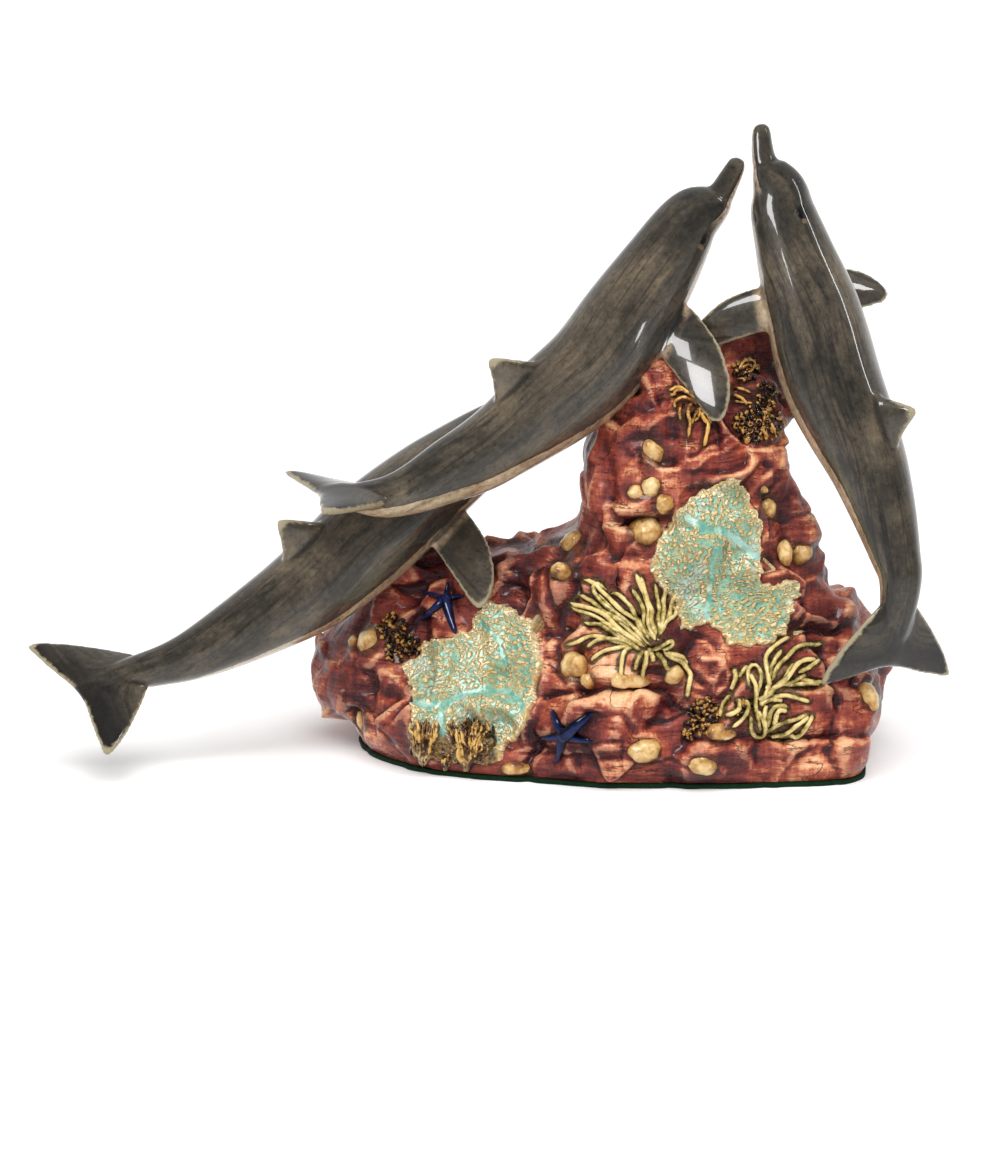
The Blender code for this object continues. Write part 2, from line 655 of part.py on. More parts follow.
def make_dolphin(name, pose, turn, fin_at, flippers, folder):
    dolphin = Dolphin(pose, turn)
    body = loft(f"{name}_body", body_rings(dolphin), folder)
    fins = [loft(f"{name}_dorsal_fin", dorsal_fin_rings(dolphin, fin_at), folder)]
    fins += [
        loft(f"{name}_flipper", flipper_rings(dolphin, *flipper), folder) for flipper in flippers
    ]
    fins += [loft(f"{name}_fluke", fluke_rings(dolphin, side), folder) for side in (1, -1)]
    return joined(body, fins)


def make_reef(folder):
    """The rock with its coral crusts, shells, starfish and anemones."""
    rock = loft("ceramic_group", rock_grid(ROCK_RINGS, ROCK_SIDES), folder)
    bpy.context.view_layer.update()
    front, behind = Face(rock), Face(rock, behind=True)
    life = [
        crust("pillar_coral", PILLAR_CORAL, CORAL_RELIEF, front, folder),
        crust("foot_coral", FOOT_CORAL, CORAL_RELIEF, front, folder),
        crust("back_coral", BACK_CORAL, CORAL_RELIEF, behind, folder),
    ]
    sides = (
        (front, FRONT_SHELLS, FRONT_STARS, FRONT_ANEMONES),
        (behind, BACK_SHELLS, BACK_STARS, BACK_ANEMONES),
    )
    for face, shells, stars, anemones in sides:
        life += [shell("shell", place, face, folder) for place in shells]
        life += [crust("star", star_outline(*row), STAR_RELIEF, face, folder) for row in stars]
        for place in anemones:
            life += anemone("anemone", place, face, folder)
    return joined(rock, life)


def make_felt(folder):
    """The felt pad: the outline of the rock's foot, grown by the margin."""
    foot = rock_grid(ROCK_RINGS, ROCK_SIDES)[0, :, :2]
    along = unit(np.roll(foot, -1, axis=0) - np.roll(foot, 1, axis=0))
    outward = np.stack([along[:, 1], -along[:, 0]], axis=1)
    outline = foot + outward * FELT_MARGIN
    curve = bpy.data.curves.new("felt_pad", "CURVE")
    curve.dimensions = "2D"
    curve.fill_mode = "BOTH"
    curve.extrude = FELT_THICKNESS / 2
    spline = curve.splines.new("POLY")
    spline.use_cyclic_u = True
    spline.points.add(len(outline) - 1)
    for spot, (x, y) in zip(spline.points, outline):
        spot.co = (x, y, 0.0, 1.0)
    pad = bpy.data.objects.new("felt_pad", curve)
    pad.location.z = FELT_THICKNESS / 2
    folder.objects.link(pad)
    pad.data.materials.append(glaze("felt_green", (0.012, 0.045, 0.020), 0.95))
    return pad


def main():
    for old in list(bpy.data.objects):
        bpy.data.objects.remove(old)
    folder = folder_for("dolphin_group")
    reef = make_reef(folder)
    dolphins = [make_dolphin(*row, folder) for row in DOLPHINS]
    group = joined(reef, dolphins)
    keep_outer_skin(group)
    free_touching_corners(group)
    group.data.materials.clear()
    group.data.materials.append(glaze("glazed_ceramic", (0.16, 0.10, 0.09), 0.18))
    group.data.shade_smooth()
    group.data.set_sharp_from_angle(angle=math.radians(SHARP_ANGLE))
    make_felt(folder)


main()
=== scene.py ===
"""Glazed ceramic group: three dolphins leaping over a reef rock, on a felt pad.

The dolphins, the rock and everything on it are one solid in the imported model. Here each gets its
fine surface and its glaze. Free forms are shares of the group's height, ornaments on the front are
placed by the photograph's pixels and seated on the rock, and everything else is in metres.
"""

import math

import bpy
import numpy as np
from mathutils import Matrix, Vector
from mathutils.bvhtree import BVHTree


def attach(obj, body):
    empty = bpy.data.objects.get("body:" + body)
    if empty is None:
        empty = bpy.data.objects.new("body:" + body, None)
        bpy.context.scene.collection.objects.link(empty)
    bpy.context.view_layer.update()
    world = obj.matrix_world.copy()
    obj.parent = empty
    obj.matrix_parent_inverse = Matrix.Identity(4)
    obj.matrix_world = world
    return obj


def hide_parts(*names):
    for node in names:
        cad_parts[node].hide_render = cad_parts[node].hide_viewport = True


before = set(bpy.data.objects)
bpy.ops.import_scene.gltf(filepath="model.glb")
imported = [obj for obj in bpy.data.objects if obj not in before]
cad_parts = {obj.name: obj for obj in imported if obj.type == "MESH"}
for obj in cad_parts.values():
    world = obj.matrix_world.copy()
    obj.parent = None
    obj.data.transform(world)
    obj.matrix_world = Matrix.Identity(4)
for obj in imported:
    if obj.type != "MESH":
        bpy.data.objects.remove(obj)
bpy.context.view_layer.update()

HEIGHT = 0.285
FELT_THICKNESS = 0.0020
FELT_MARGIN = 0.0012
GLUE_LINE = 0.0003
FLIPPER_THICKNESS = 0.0062
DORSAL_FIN_THICKNESS = 0.0072
FLUKE_THICKNESS = 0.0066

# The camera: where it stands, what it looks at, and the photograph's frame in pixels.
CAMERA_AT = np.array([-0.045, -1.36941, 0.36827])
CAMERA_TARGET = np.array([-0.045, 0.0, 0.0772])
PHOTO_WIDTH, PHOTO_HEIGHT = 1000, 1169
SENSOR = 36.0
LENS = 95.81
PIXELS_PER_SLOPE = LENS / SENSOR * PHOTO_HEIGHT
MILLIMETRE = 0.001

# A dolphin's body along its centreline, in shares of its own length:
# how far along, then its reach towards the back, towards the belly and to each side.
BODY_PROFILE = (
    (0.0, 0.007, 0.007, 0.008), (0.01, 0.015, 0.015, 0.0155), (0.04, 0.019, 0.02, 0.02),
    (0.068, 0.0215, 0.025, 0.024), (0.079, 0.034, 0.03, 0.032), (0.11, 0.048, 0.042, 0.045),
    (0.15, 0.056, 0.054, 0.055), (0.23, 0.067, 0.067, 0.065), (0.33, 0.08, 0.08, 0.076),
    (0.43, 0.086, 0.086, 0.082), (0.54, 0.081, 0.08, 0.076), (0.64, 0.07, 0.069, 0.064),
    (0.74, 0.057, 0.056, 0.05), (0.83, 0.043, 0.042, 0.036), (0.9, 0.031, 0.03, 0.03),
    (0.95, 0.017, 0.016, 0.028), (0.99, 0.006, 0.006, 0.014),
)

# Each dolphin's centreline from the tip of the beak to the notch of the tail, in shares of the
# height, then how far its back leans towards the viewer in degrees, and its girth.
UPPER_POSE = (
    (0.209, -0.021, 0.94, 22, 1.0), (0.174, -0.021, 0.88, 22, 1.0), (0.13, -0.025, 0.841, 24, 1.02),
    (0.088, -0.028, 0.775, 26, 1.04), (0.039, -0.035, 0.698, 28, 1.04),
    (-0.013, -0.042, 0.623, 28, 1.02), (-0.088, -0.049, 0.56, 26, 1.03),
    (-0.158, -0.06, 0.508, 24, 1.0), (-0.22, -0.07, 0.473, 22, 1.04),
    (-0.33, -0.102, 0.43, 12, 1.0), (-0.442, -0.14, 0.444, 3, 1.0),
)
LOWER_POSE = (
    (-0.062, 0.126, 0.564, 24, 1.0), (-0.12, 0.109, 0.528, 24, 1.02),
    (-0.188, 0.088, 0.478, 24, 1.08), (-0.267, 0.053, 0.423, 26, 1.06),
    (-0.357, 0.021, 0.351, 28, 1.03), (-0.445, -0.007, 0.276, 30, 1.0),
    (-0.538, -0.035, 0.22, 34, 0.98), (-0.643, -0.07, 0.171, 42, 0.94),
    (-0.747, -0.105, 0.146, 50, 0.92), (-0.812, -0.147, 0.126, 52, 1.0),
)
UPRIGHT_POSE = (
    (0.239, -0.028, 0.993, 44, 1.0), (0.245, -0.028, 0.942, 44, 0.95),
    (0.266, -0.035, 0.894, 44, 1.0), (0.275, -0.039, 0.855, 44, 1.0),
    (0.295, -0.049, 0.79, 44, 1.02), (0.319, -0.067, 0.715, 44, 1.04),
    (0.35, -0.098, 0.605, 44, 1.03), (0.403, -0.147, 0.481, 46, 1.0),
    (0.438, -0.189, 0.366, 50, 0.96), (0.447, -0.203, 0.306, 56, 0.96),
    (0.433, -0.184, 0.176, 66, 1.04),
)

# A fin's outline in shares of its span: how far out, its leading and its trailing edge along the
# body from the middle of its root, and the share of its thickness left there.
FLIPPER_OUTLINE = (
    (-0.16, 0.3, -0.3, 1.3), (0.06, 0.29, -0.31, 1.05), (0.28, 0.24, -0.36, 0.9),
    (0.52, 0.15, -0.42, 0.78), (0.76, -0.01, -0.49, 0.66), (0.91, -0.17, -0.52, 0.52),
    (1.0, -0.36, -0.48, 0.3),
)
DORSAL_FIN_OUTLINE = (
    (-0.35, 0.96, -0.82, 1.4), (0.05, 0.74, -0.69, 1.1), (0.35, 0.49, -0.53, 0.9),
    (0.65, 0.24, -0.4, 0.72), (0.88, 0.03, -0.31, 0.56), (1.0, -0.1, -0.24, 0.34),
)
FLUKE_OUTLINE = (
    (-0.06, 1.06, 0.02, 1.6), (0.16, 1.02, 0.0, 1.35), (0.38, 0.8, -0.06, 1.0),
    (0.6, 0.54, -0.12, 0.78), (0.8, 0.27, -0.16, 0.62), (0.93, 0.05, -0.19, 0.48),
    (1.0, -0.11, -0.18, 0.28),
)
DORSAL_FIN_SPAN = 0.070
DORSAL_FIN_SUNK = 0.94
FLIPPER_AT = 0.310
FLIPPER_SPAN = 0.165
FLIPPER_SET = 40
FLUKE_AT = 0.995
FLUKE_SPAN = 0.128

# For each dolphin: its pose, which side its back lies on, where along it the fin stands, and its
# flippers' side, droop in degrees, sweep in degrees and span as a share of the usual one.
DOLPHINS = (
    ("upper_dolphin", UPPER_POSE, 1, 0.560, ((-1, 40, 4, 1.00), (1, 43, 4, 1.00))),
    ("lower_dolphin", LOWER_POSE, 1, 0.515, ((-1, 34, -6, 0.88), (1, 42, 0, 0.84))),
    ("upright_dolphin", UPRIGHT_POSE, -1, 0.575, ((1, 65, -16, 0.82), (-1, -14, -18, 0.95))),
)
# Where each one's eyes are in the photograph, in pixels. One that shows a single eye has the other
# across from it, and one whose head is hidden has both at the usual place.
EYES = {
    "upper_dolphin": ((705.5, 240.5),), "lower_dolphin": (),
    "upright_dolphin": ((802, 213), (753, 219)),
}
USUAL_EYE = 0.135
# How far towards the back the pale belly reaches at the chest and at the tail: -1 is none of it.
BELLIES = {
    "upper_dolphin": (-0.56, -0.24), "lower_dolphin": (-0.44, -0.40),
    "upright_dolphin": (-0.44, -0.26),
}
# How far round from its middle the mouth's line lies: -1 is right under the beak.
MOUTHS = {"upper_dolphin": -0.34, "lower_dolphin": -0.16, "upright_dolphin": -0.16}
SKIN_PITCH = 0.00094  # the spacing of the dolphins' fine mesh
FILLET_REACH = 0.011  # how far the clay is smoothed round the root of a fin

# The rock by levels, in shares of the height: how high, then its reach to the left, right, front
# and back, and how square its left and right ends are.
ROCK_LEVELS = (
    (0.0, -0.386, 0.412, -0.222, 0.232, 2.2, 7.0), (0.022, -0.414, 0.424, -0.236, 0.246, 2.2, 7.0),
    (0.055, -0.45, 0.434, -0.24, 0.252, 2.2, 6.0), (0.098, -0.47, 0.444, -0.232, 0.252, 2.2, 5.0),
    (0.14, -0.452, 0.442, -0.216, 0.246, 2.3, 4.2), (0.18, -0.414, 0.424, -0.198, 0.235, 2.4, 3.8),
    (0.22, -0.38, 0.4, -0.181, 0.222, 2.5, 3.6), (0.25, -0.336, 0.378, -0.169, 0.208, 2.6, 3.4),
    (0.274, -0.336, 0.366, -0.161, 0.193, 2.8, 3.2),
    (0.291, -0.256, 0.356, -0.156, 0.182, 3.0, 3.2),
    (0.309, -0.116, 0.342, -0.152, 0.174, 3.2, 3.2), (0.34, -0.04, 0.326, -0.15, 0.166, 3.4, 3.2),
    (0.385, -0.03, 0.304, -0.146, 0.154, 3.4, 3.2), (0.43, -0.032, 0.29, -0.138, 0.142, 3.3, 3.1),
    (0.475, -0.026, 0.284, -0.127, 0.128, 3.1, 3.0), (0.52, -0.002, 0.292, -0.112, 0.112, 2.9, 2.9),
    (0.562, 0.016, 0.3, -0.095, 0.094, 2.7, 2.7), (0.602, 0.052, 0.282, -0.074, 0.074, 2.5, 2.5),
    (0.636, 0.094, 0.264, -0.05, 0.052, 2.3, 2.3), (0.662, 0.166, 0.248, -0.022, 0.024, 2.0, 2.0),
)
# How the left end bends away and the front of the ledge falls back, in shares too.
ROCK_BEND = 0.18
ROCK_BEND_FROM = -0.035
LEDGE_SLOPE = 2.1
LEDGE_SET_BACK = 0.10
LEDGE_TOP = 0.29
LEDGE_FROM, LEDGE_TO = 0.02, -0.18
ROCK_CALM_BELOW = 0.06
ROCK_FOOT_CALM = 0.35
ROCK_LIP = 0.006
ROCK_LIP_LEVEL = 23
FRONT_CROWDING = 0.35
ROCK_ROWS, ROCK_COLUMNS = 246, 396
# From here backwards the relief is pressed flatter, so that it stays within the solid's reach.
ROCK_BACK_FROM, ROCK_BACK_TO = 0.270, 0.294

# Chopped faces: each layer has its cell size and its depth as shares of the height, and a seed.
ROCK_FACETS = ((0.120, 0.022, 3), (0.062, 0.017, 8))
# Crisper creases, with how stretched each layer is along x: cell, depth, stretch and a seed.
ROCK_CREASES = ((0.056, 0.0125, 2.0, 13), (0.026, 0.0036, 1.9, 21), (0.011, 0.0010, 1.6, 34))
CREASE_TURN = 0.35
FACET_SHARPNESS = 16.0
FACET_TILT = 2.2
PILLAR_EDGE = -0.025  # where the pillar's left edge is, which is smoother
FACET_BEND = 0.040  # how far the lines between the chopped faces wander

# The larger ledges and clefts: a line through (x, z) places on the upright plane through the
# origin as the camera sees it, in shares of the height, its half width and its depth.
ROCK_CLEFTS = (
    (((-0.091, 0.083), (-0.008, 0.089), (0.066, 0.099), (0.103, 0.094), (0.122, 0.068)),
     0.012, 0.013),
    (((0.145, 0.007), (0.289, 0.012), (0.436, 0.016)), 0.01, 0.01),
    (((0.311, 0.197), (0.384, 0.194)), 0.014, 0.016),
    (((-0.428, 0.112), (-0.317, 0.083)), 0.012, 0.01),
    (((-0.024, 0.359), (0.015, 0.31), (0.075, 0.301)), 0.012, 0.012),
    (((-0.087, 0.181), (0.0, 0.197)), 0.012, 0.012),
    (((0.272, 0.099), (0.399, 0.109), (0.453, 0.099)), 0.012, 0.012),
    (((-0.002, 0.502), (0.009, 0.406)), 0.013, 0.012),
    (((0.091, 0.578), (0.111, 0.502)), 0.012, 0.012),
)
CLEFT_FADE = 0.08

# Finer tool cuts on the front: a line through pixels, its half width in pixels and its depth in
# millimetres. A negative depth is a ridge.
TOOL_CUTS = (
    (((542, 700), (594, 694), (641, 690), (664, 693), (676, 709)), 2.6, 2.2),
    (((594, 684), (640, 680), (668, 684)), 4.0, -0.9),
    (((687, 693), (712, 700), (737, 707), (760, 706)), 2.6, 1.6),
    (((693, 743), (760, 741), (812, 743), (870, 742)), 2.4, 1.8),
    (((507, 757), (560, 761), (620, 765), (690, 770)), 2.4, 1.0),
    (((525, 748), (552, 743), (590, 748), (622, 747)), 2.2, 1.1),
    (((622, 750), (624, 776)), 2.0, 1.2), (((757, 746), (755, 760), (758, 778)), 2.2, 1.4),
    (((786, 744), (789, 758), (787, 778)), 2.0, 1.1), (((812, 744), (814, 776)), 2.0, 1.2),
    (((838, 746), (842, 770)), 2.0, 0.9), (((596, 462), (600, 500), (596, 548)), 2.6, 1.2),
    (((608, 566), (622, 552), (640, 541)), 2.8, 1.7),
    (((654, 374), (658, 395), (662, 418)), 2.4, 1.6),
    (((672, 372), (676, 398), (676, 424)), 2.4, 1.4),
    (((637, 455), (641, 466), (639, 480)), 2.4, 1.6),
    (((693, 474), (712, 462), (734, 449), (744, 436)), 3.4, -1.1),
    (((690, 462), (712, 449), (730, 438)), 2.8, 1.5), (((604, 508), (606, 516)), 5.0, 2.2),
    (((768, 566), (778, 576), (764, 582)), 5.0, 4.2), (((838, 702), (840, 706)), 4.4, 3.4),
    (((802, 632), (820, 629), (840, 632)), 3.6, 3.0),
    (((700, 664), (718, 666), (728, 678), (726, 690), (717, 697)), 2.4, -1.4),
    (((708, 672), (713, 678)), 5.0, 1.8), (((342, 640), (334, 662), (326, 684)), 2.6, 1.2),
    (((337, 664), (356, 668), (374, 686)), 3.0, 1.8),
    (((316, 684), (354, 708), (376, 730), (396, 748)), 2.6, 1.7),
    (((366, 700), (386, 690), (406, 678)), 3.0, -1.0),
    (((500, 575), (512, 590), (522, 606)), 4.0, 2.4),
    (((524, 560), (540, 572), (556, 570)), 2.6, 1.4),
    (((552, 578), (558, 600), (556, 624)), 3.2, 2.2),
    (((540, 612), (552, 626), (566, 634)), 2.6, 1.5),
    (((455, 560), (470, 572), (480, 590)), 3.0, 1.4),
    (((560, 662), (556, 676), (566, 690)), 2.6, 1.4),
    (((606, 600), (616, 622), (612, 640)), 3.0, 1.5),
    (((690, 640), (706, 644), (718, 654)), 3.0, 2.0),
    (((766, 470), (774, 486), (770, 500)), 2.8, 1.9),
    (((752, 452), (772, 448), (790, 452)), 2.8, 1.6),
    (((776, 516), (792, 524), (806, 522)), 2.6, 1.6),
    (((800, 600), (806, 616), (798, 634)), 2.8, 1.5),
    (((830, 580), (840, 604), (852, 622)), 2.6, 1.4),
    (((856, 650), (862, 680), (866, 712)), 2.6, 1.5),
    (((690, 718), (668, 728), (640, 726)), 2.8, 1.3),
    (((600, 714), (622, 722), (634, 738)), 2.6, 1.4),
)

# Where the rock's front is paler or, if negative, darker: a pixel, a reach and how much.
GLAZE_PATCHES = (
    (629, 676, 24, 0.9), (592, 652, 26, 0.75), (575, 692, 20, 0.6), (700, 452, 26, 0.2),
    (655, 480, 18, 0.5), (642, 616, 20, 0.6), (690, 690, 18, 0.4), (770, 758, 34, 0.1),
    (830, 762, 26, 0.25), (560, 560, 14, 0.4), (530, 654, 14, 0.5), (620, 560, 16, 0.5),
    (625, 750, 34, 0.1), (610, 700, 22, 0.3), (822, 600, 26, 0.55), (812, 690, 14, 0.3),
    (400, 700, 14, 0.35), (365, 672, 12, 0.3), (665, 395, 12, 0.3), (605, 590, 14, 0.45),
    (518, 596, 22, -0.8), (557, 602, 14, -0.8), (702, 404, 26, -0.7), (780, 378, 34, -0.9),
    (348, 690, 22, -0.5), (772, 556, 14, -0.8), (800, 644, 20, -0.6), (735, 716, 16, -0.6),
    (612, 500, 12, -0.4), (468, 566, 18, -0.7), (640, 455, 12, -0.5), (690, 640, 16, -0.7),
    (600, 740, 22, -0.3), (870, 700, 14, -0.4), (785, 500, 18, -0.5), (520, 720, 14, -0.4),
    (690, 772, 60, -0.7), (560, 776, 40, -0.6), (340, 700, 50, -0.4), (600, 490, 40, 0.25),
    (590, 660, 50, 0.3),
)

# Coral crusts as outlines in pixels. The one on the back is placed by the camera's mirror image.
PILLAR_CORAL = (
    (721, 478), (737, 477), (749, 483), (752, 500), (760, 511), (765, 524), (762, 548), (762, 567),
    (763, 580), (774, 584), (791, 578), (800, 580), (801, 596), (796, 603), (793, 621), (788, 636),
    (768, 647), (746, 649), (725, 646), (720, 634), (707, 627), (690, 633), (679, 632), (678, 620),
    (675, 604), (664, 596), (652, 576), (651, 561), (656, 539), (664, 526), (678, 507), (689, 496),
    (704, 487),
)
FOOT_CORAL = (
    (489, 600), (503, 602), (514, 610), (530, 618), (537, 631), (542, 650), (545, 665), (539, 688),
    (540, 700), (530, 719), (520, 736), (508, 750), (497, 763), (489, 768), (470, 766), (440, 765),
    (414, 757), (407, 740), (407, 727), (410, 707), (407, 683), (401, 669), (415, 656), (422, 644),
    (438, 635), (453, 635), (468, 629), (474, 616), (478, 608),
)
BACK_CORAL = (
    (612, 560), (650, 540), (695, 548), (724, 580), (722, 640), (700, 690), (650, 704), (606, 688),
    (588, 650), (590, 600),
)
# Lines in pixels along which the turquoise pooled without ridges, and how wide each is.
GLAZE_POOLS = (
    (((688, 518), (706, 529), (722, 530), (738, 541), (750, 552), (757, 556)), 3.4),
    (((719, 548), (712, 566), (711, 582), (707, 604), (708, 622)), 2.6),
    (((410, 699), (427, 707), (443, 706), (468, 694), (490, 693), (510, 692), (522, 704),
      (528, 718)), 3.6),
    (((443, 709), (442, 726), (444, 744)), 4.2), (((484, 625), (500, 640), (506, 660)), 2.6),
)
CRUST_RISE = 0.0017
CRUST_SUNK = 0.0032
WORM_PERIOD = 7.4  # pixels from one swirl of a crust to the next
WORM_RISE = 0.00046

# Shells: a pixel, half width and half height in pixels, and how much each is turned.
SHELLS = (
    (367, 639, 12, 15, 10), (352.6, 642, 5, 7, 80), (361, 720, 7, 10, 150), (515, 769, 15, 6, 0),
    (572, 542, 14, 12, 30), (562, 569, 14, 10, 200), (572, 665, 14, 14, 70), (587, 681, 8, 8, 300),
    (652, 453, 12, 13, 120), (635, 492, 8, 7, 20), (651, 487, 10, 9, 250), (663, 504, 9.5, 9.5, 60),
    (644, 530, 16, 15, 330), (769, 508, 8, 11, 100), (764, 490, 5, 4, 10), (785, 550, 8, 13, 200),
    (801, 553, 12, 10, 340), (674, 675, 9.5, 9.5, 50), (645, 751, 15, 12, 20),
    (721, 735, 13, 8, 180), (703, 766, 14, 11, 260), (871, 695, 9, 14, 90),
)
# A pale slab of clay, made as a shell is.
PALE_SLABS = ((630, 682, 20, 9, 0),)
BACK_SHELLS = (
    (492, 640, 15, 13, 40), (522, 668, 12, 12, 200), (740, 610, 15, 14, 90),
    (722, 500, 12, 12, 300),
)
SHELL_RINGS, SHELL_SIDES = 14, 44

# Starfish: a pixel, how fat the arms are for their length, then the pixels of their five tips.
STARS = (
    ((444.5, 600.4), 0.19, ((422, 591), (448, 582), (465, 596), (456, 634), (422, 620))),
    ((564, 735), 0.235, ((552, 710), (591, 712), (592, 741), (558, 762), (540, 738))),
)
BACK_STARS = (((546, 622), 0.22, ((534, 596), (568, 606), (570, 634), (546, 648), (522, 628))),)

# The arms of anemones and weeds, each a line through pixels from its root to its tip.
REEF_ANEMONE = (
    ((659, 640), (647, 635), (630, 615), (610, 600), (594, 581), (584, 580)),
    ((652, 645), (635, 632), (616, 615), (602, 601), (591, 586), (597, 579), (607, 590)),
    ((647, 646), (627, 632), (612, 617), (595, 602), (579, 595)),
    ((645, 647), (622, 635), (606, 615), (590, 611), (570, 602)),
    ((640, 650), (617, 635), (602, 619), (585, 615), (571, 606)),
    ((635, 650), (615, 637), (597, 625), (584, 622)),
    ((630, 649), (610, 640), (591, 637), (567, 645)),
    ((640, 651), (620, 642), (601, 640), (587, 647)),
    ((630, 647), (610, 650), (600, 654), (592, 661)),
    ((655, 640), (650, 621), (647, 602), (640, 585), (636, 574)),
    ((656, 635), (652, 615), (645, 595), (641, 577)),
    ((650, 640), (645, 617), (640, 602), (632, 589)),
    ((659, 635), (659, 615), (656, 596), (655, 584)),
    ((660, 632), (664, 615), (662, 602), (666, 588)),
    ((660, 630), (669, 617), (672, 606), (676, 594)),
    ((659, 635), (667, 620), (675, 616), (676, 603)),
    ((645, 645), (637, 627), (634, 620), (640, 627), (647, 640)),
    ((632, 649), (625, 652), (621, 665), (621, 676)), ((642, 652), (637, 660), (634, 669)),
    ((646, 651), (645, 662), (641, 671), (642, 681)), ((657, 651), (662, 659), (669, 668)),
    ((664, 650), (672, 656), (685, 664), (689, 677), (687, 697)),
    ((647, 650), (660, 645), (671, 640), (671, 646), (662, 649)), ((650, 652), (653, 660)),
    ((667, 651), (680, 656), (687, 664)), ((622, 635), (607, 625), (600, 624)),
    ((630, 630), (614, 619), (603, 615)),
    ((651, 635), (640, 619), (630, 606), (620, 595), (611, 594)),
    ((640, 636), (624, 624), (608, 606), (597, 594)),
)
FOOT_ANEMONE = (
    ((770, 680), (766, 660), (771, 649), (780, 642), (789, 637)),
    ((772, 676), (775, 661), (780, 650)),
    ((772, 680), (782, 664), (792, 651), (805, 646), (822, 644)),
    ((775, 688), (785, 676), (794, 667), (804, 661), (816, 660)),
    ((770, 694), (780, 682), (787, 671), (794, 664)), ((778, 686), (792, 679), (805, 675)),
    ((798, 673), (811, 666), (819, 660)), ((785, 686), (802, 687), (820, 685)),
    ((772, 697), (785, 694), (797, 697), (809, 702)),
    ((765, 702), (770, 685), (767, 667), (765, 657)), ((760, 706), (770, 700), (782, 701)),
    ((760, 734), (754, 712), (754, 697), (761, 681), (761, 669), (754, 662), (747, 666), (749, 686)),
    ((746, 667), (740, 677)), ((734, 669), (736, 680), (732, 690)),
    ((731, 696), (724, 706), (721, 717)), ((745, 700), (747, 710), (740, 720), (732, 727)),
    ((739, 701), (736, 711), (727, 716)), ((755, 702), (755, 685), (750, 675)),
    ((750, 716), (750, 730), (757, 736), (765, 731), (762, 720), (757, 710)),
    ((765, 732), (764, 717), (766, 706)), ((767, 727), (770, 712), (780, 706), (787, 708)),
    ((774, 725), (777, 712), (786, 711)), ((765, 731), (782, 722), (797, 719), (807, 714)),
    ((772, 737), (790, 739), (805, 727), (812, 715)),
    ((770, 735), (785, 732), (800, 724), (808, 716)), ((762, 702), (765, 690), (771, 681)),
    ((757, 698), (765, 695), (775, 689), (783, 679)), ((822, 683), (808, 680), (799, 679)),
)
HANGING_WEED = (
    ((693, 399), (683, 391), (676, 388), (669, 390)),
    ((695, 405), (684, 400), (678, 403), (675, 408)),
    ((692, 404), (687, 411), (688, 424), (688, 438)),
    ((700, 412), (706, 420), (706, 432), (703, 446)), ((697, 409), (693, 414), (691, 424)),
    ((684, 404), (681, 410), (681, 419)), ((699, 408), (697, 416), (694, 421)),
    ((690, 396), (681, 393), (671, 396)), ((702, 410), (709, 416), (711, 423)),
)
PILLAR_WEED = (
    ((738, 372), (742, 362), (750, 360), (754, 367), (750, 374), (743, 373)),
    ((741, 369), (745, 365), (749, 368), (746, 371)), ((733, 389), (742, 390), (751, 393)),
    ((734, 395), (741, 398), (747, 404)), ((735, 401), (743, 402), (752, 403)),
    ((737, 379), (744, 381), (752, 380)), ((762, 408), (764, 420), (763, 432), (766, 442)),
    ((768, 418), (771, 430), (776, 438)),
)
# Fans of short strands: the root, the fan's half angle, how long its strands are, how many, a seed.
FANS = ((423, 772, 14, 54, 54, 31), (468, 774, 24, 58, 72, 32), (446, 772, 26, 20, 10, 33))
BACK_ANEMONE = (
    ((618, 600), (604, 584), (592, 566), (586, 560)),
    ((618, 600), (608, 578), (600, 560), (596, 548)),
    ((620, 598), (617, 576), (612, 556), (610, 541)),
    ((622, 598), (626, 576), (622, 560), (626, 545)),
    ((624, 600), (632, 582), (636, 566), (640, 556)),
    ((625, 602), (638, 592), (644, 580), (646, 574)),
    ((614, 602), (600, 598), (590, 590), (580, 585)),
    ((614, 604), (602, 606), (592, 604), (584, 608)),
    ((617, 606), (608, 616), (604, 622), (600, 629)),
    ((622, 606), (626, 616), (624, 624), (622, 632)),
    ((626, 604), (634, 606), (638, 612), (641, 617)),
)
# Rough growths of short sprigs: the middle's pixel, half width, half height, how many and a seed.
SPRIG_PATCHES = (
    (392, 628, 12, 14, 60, 4), (398, 650, 13, 13, 60, 5), (412, 646, 8, 10, 26, 14),
    (704, 716, 13, 18, 90, 6), (690, 730, 8, 9, 24, 15), (741, 708, 6, 9, 26, 16),
    (758, 424, 25, 19, 120, 8), (766, 396, 12, 14, 40, 10), (746, 370, 13, 10, 34, 7),
)
# Little ring-shaped polyps under the upright dolphin, as pixels.
POLYPS = (
    (739, 415), (746, 421), (753, 414), (759, 423), (766, 416), (744, 429), (752, 432), (757, 440),
    (750, 424), (741, 422), (776, 433), (767, 423), (749, 443), (763, 431), (745, 437),
)
ARM_RADIUS = 0.00118
ARM_SIDES = 10
SPRIG_STEPS = 5

# How the clay is smoothed: rounds over the whole skin, round the fins' roots and for the wear.
SKIN_ROUNDS, ROOT_ROUNDS, WEAR_ROUNDS = 13, 16, 22
SKIN_PUSH, SKIN_PULL = 0.6, -0.62
SKIN_WEAR = 0.00055  # an edge that stands out this far has all its glaze worn off
HAND_LUMPS = 0.00035
BODY_RINGS, BODY_SIDES = 160, 72
FIN_RINGS, FIN_SIDES = 30, 32
EYE_PIXELS = 1.6  # how close to an eye's pixel a point has to be
FAR = 9.0  # the gap noted where there is no eye or blowhole near
BLOWHOLE_AT, MOUTH_TO = 0.118, 0.104  # in shares of the length from the beak
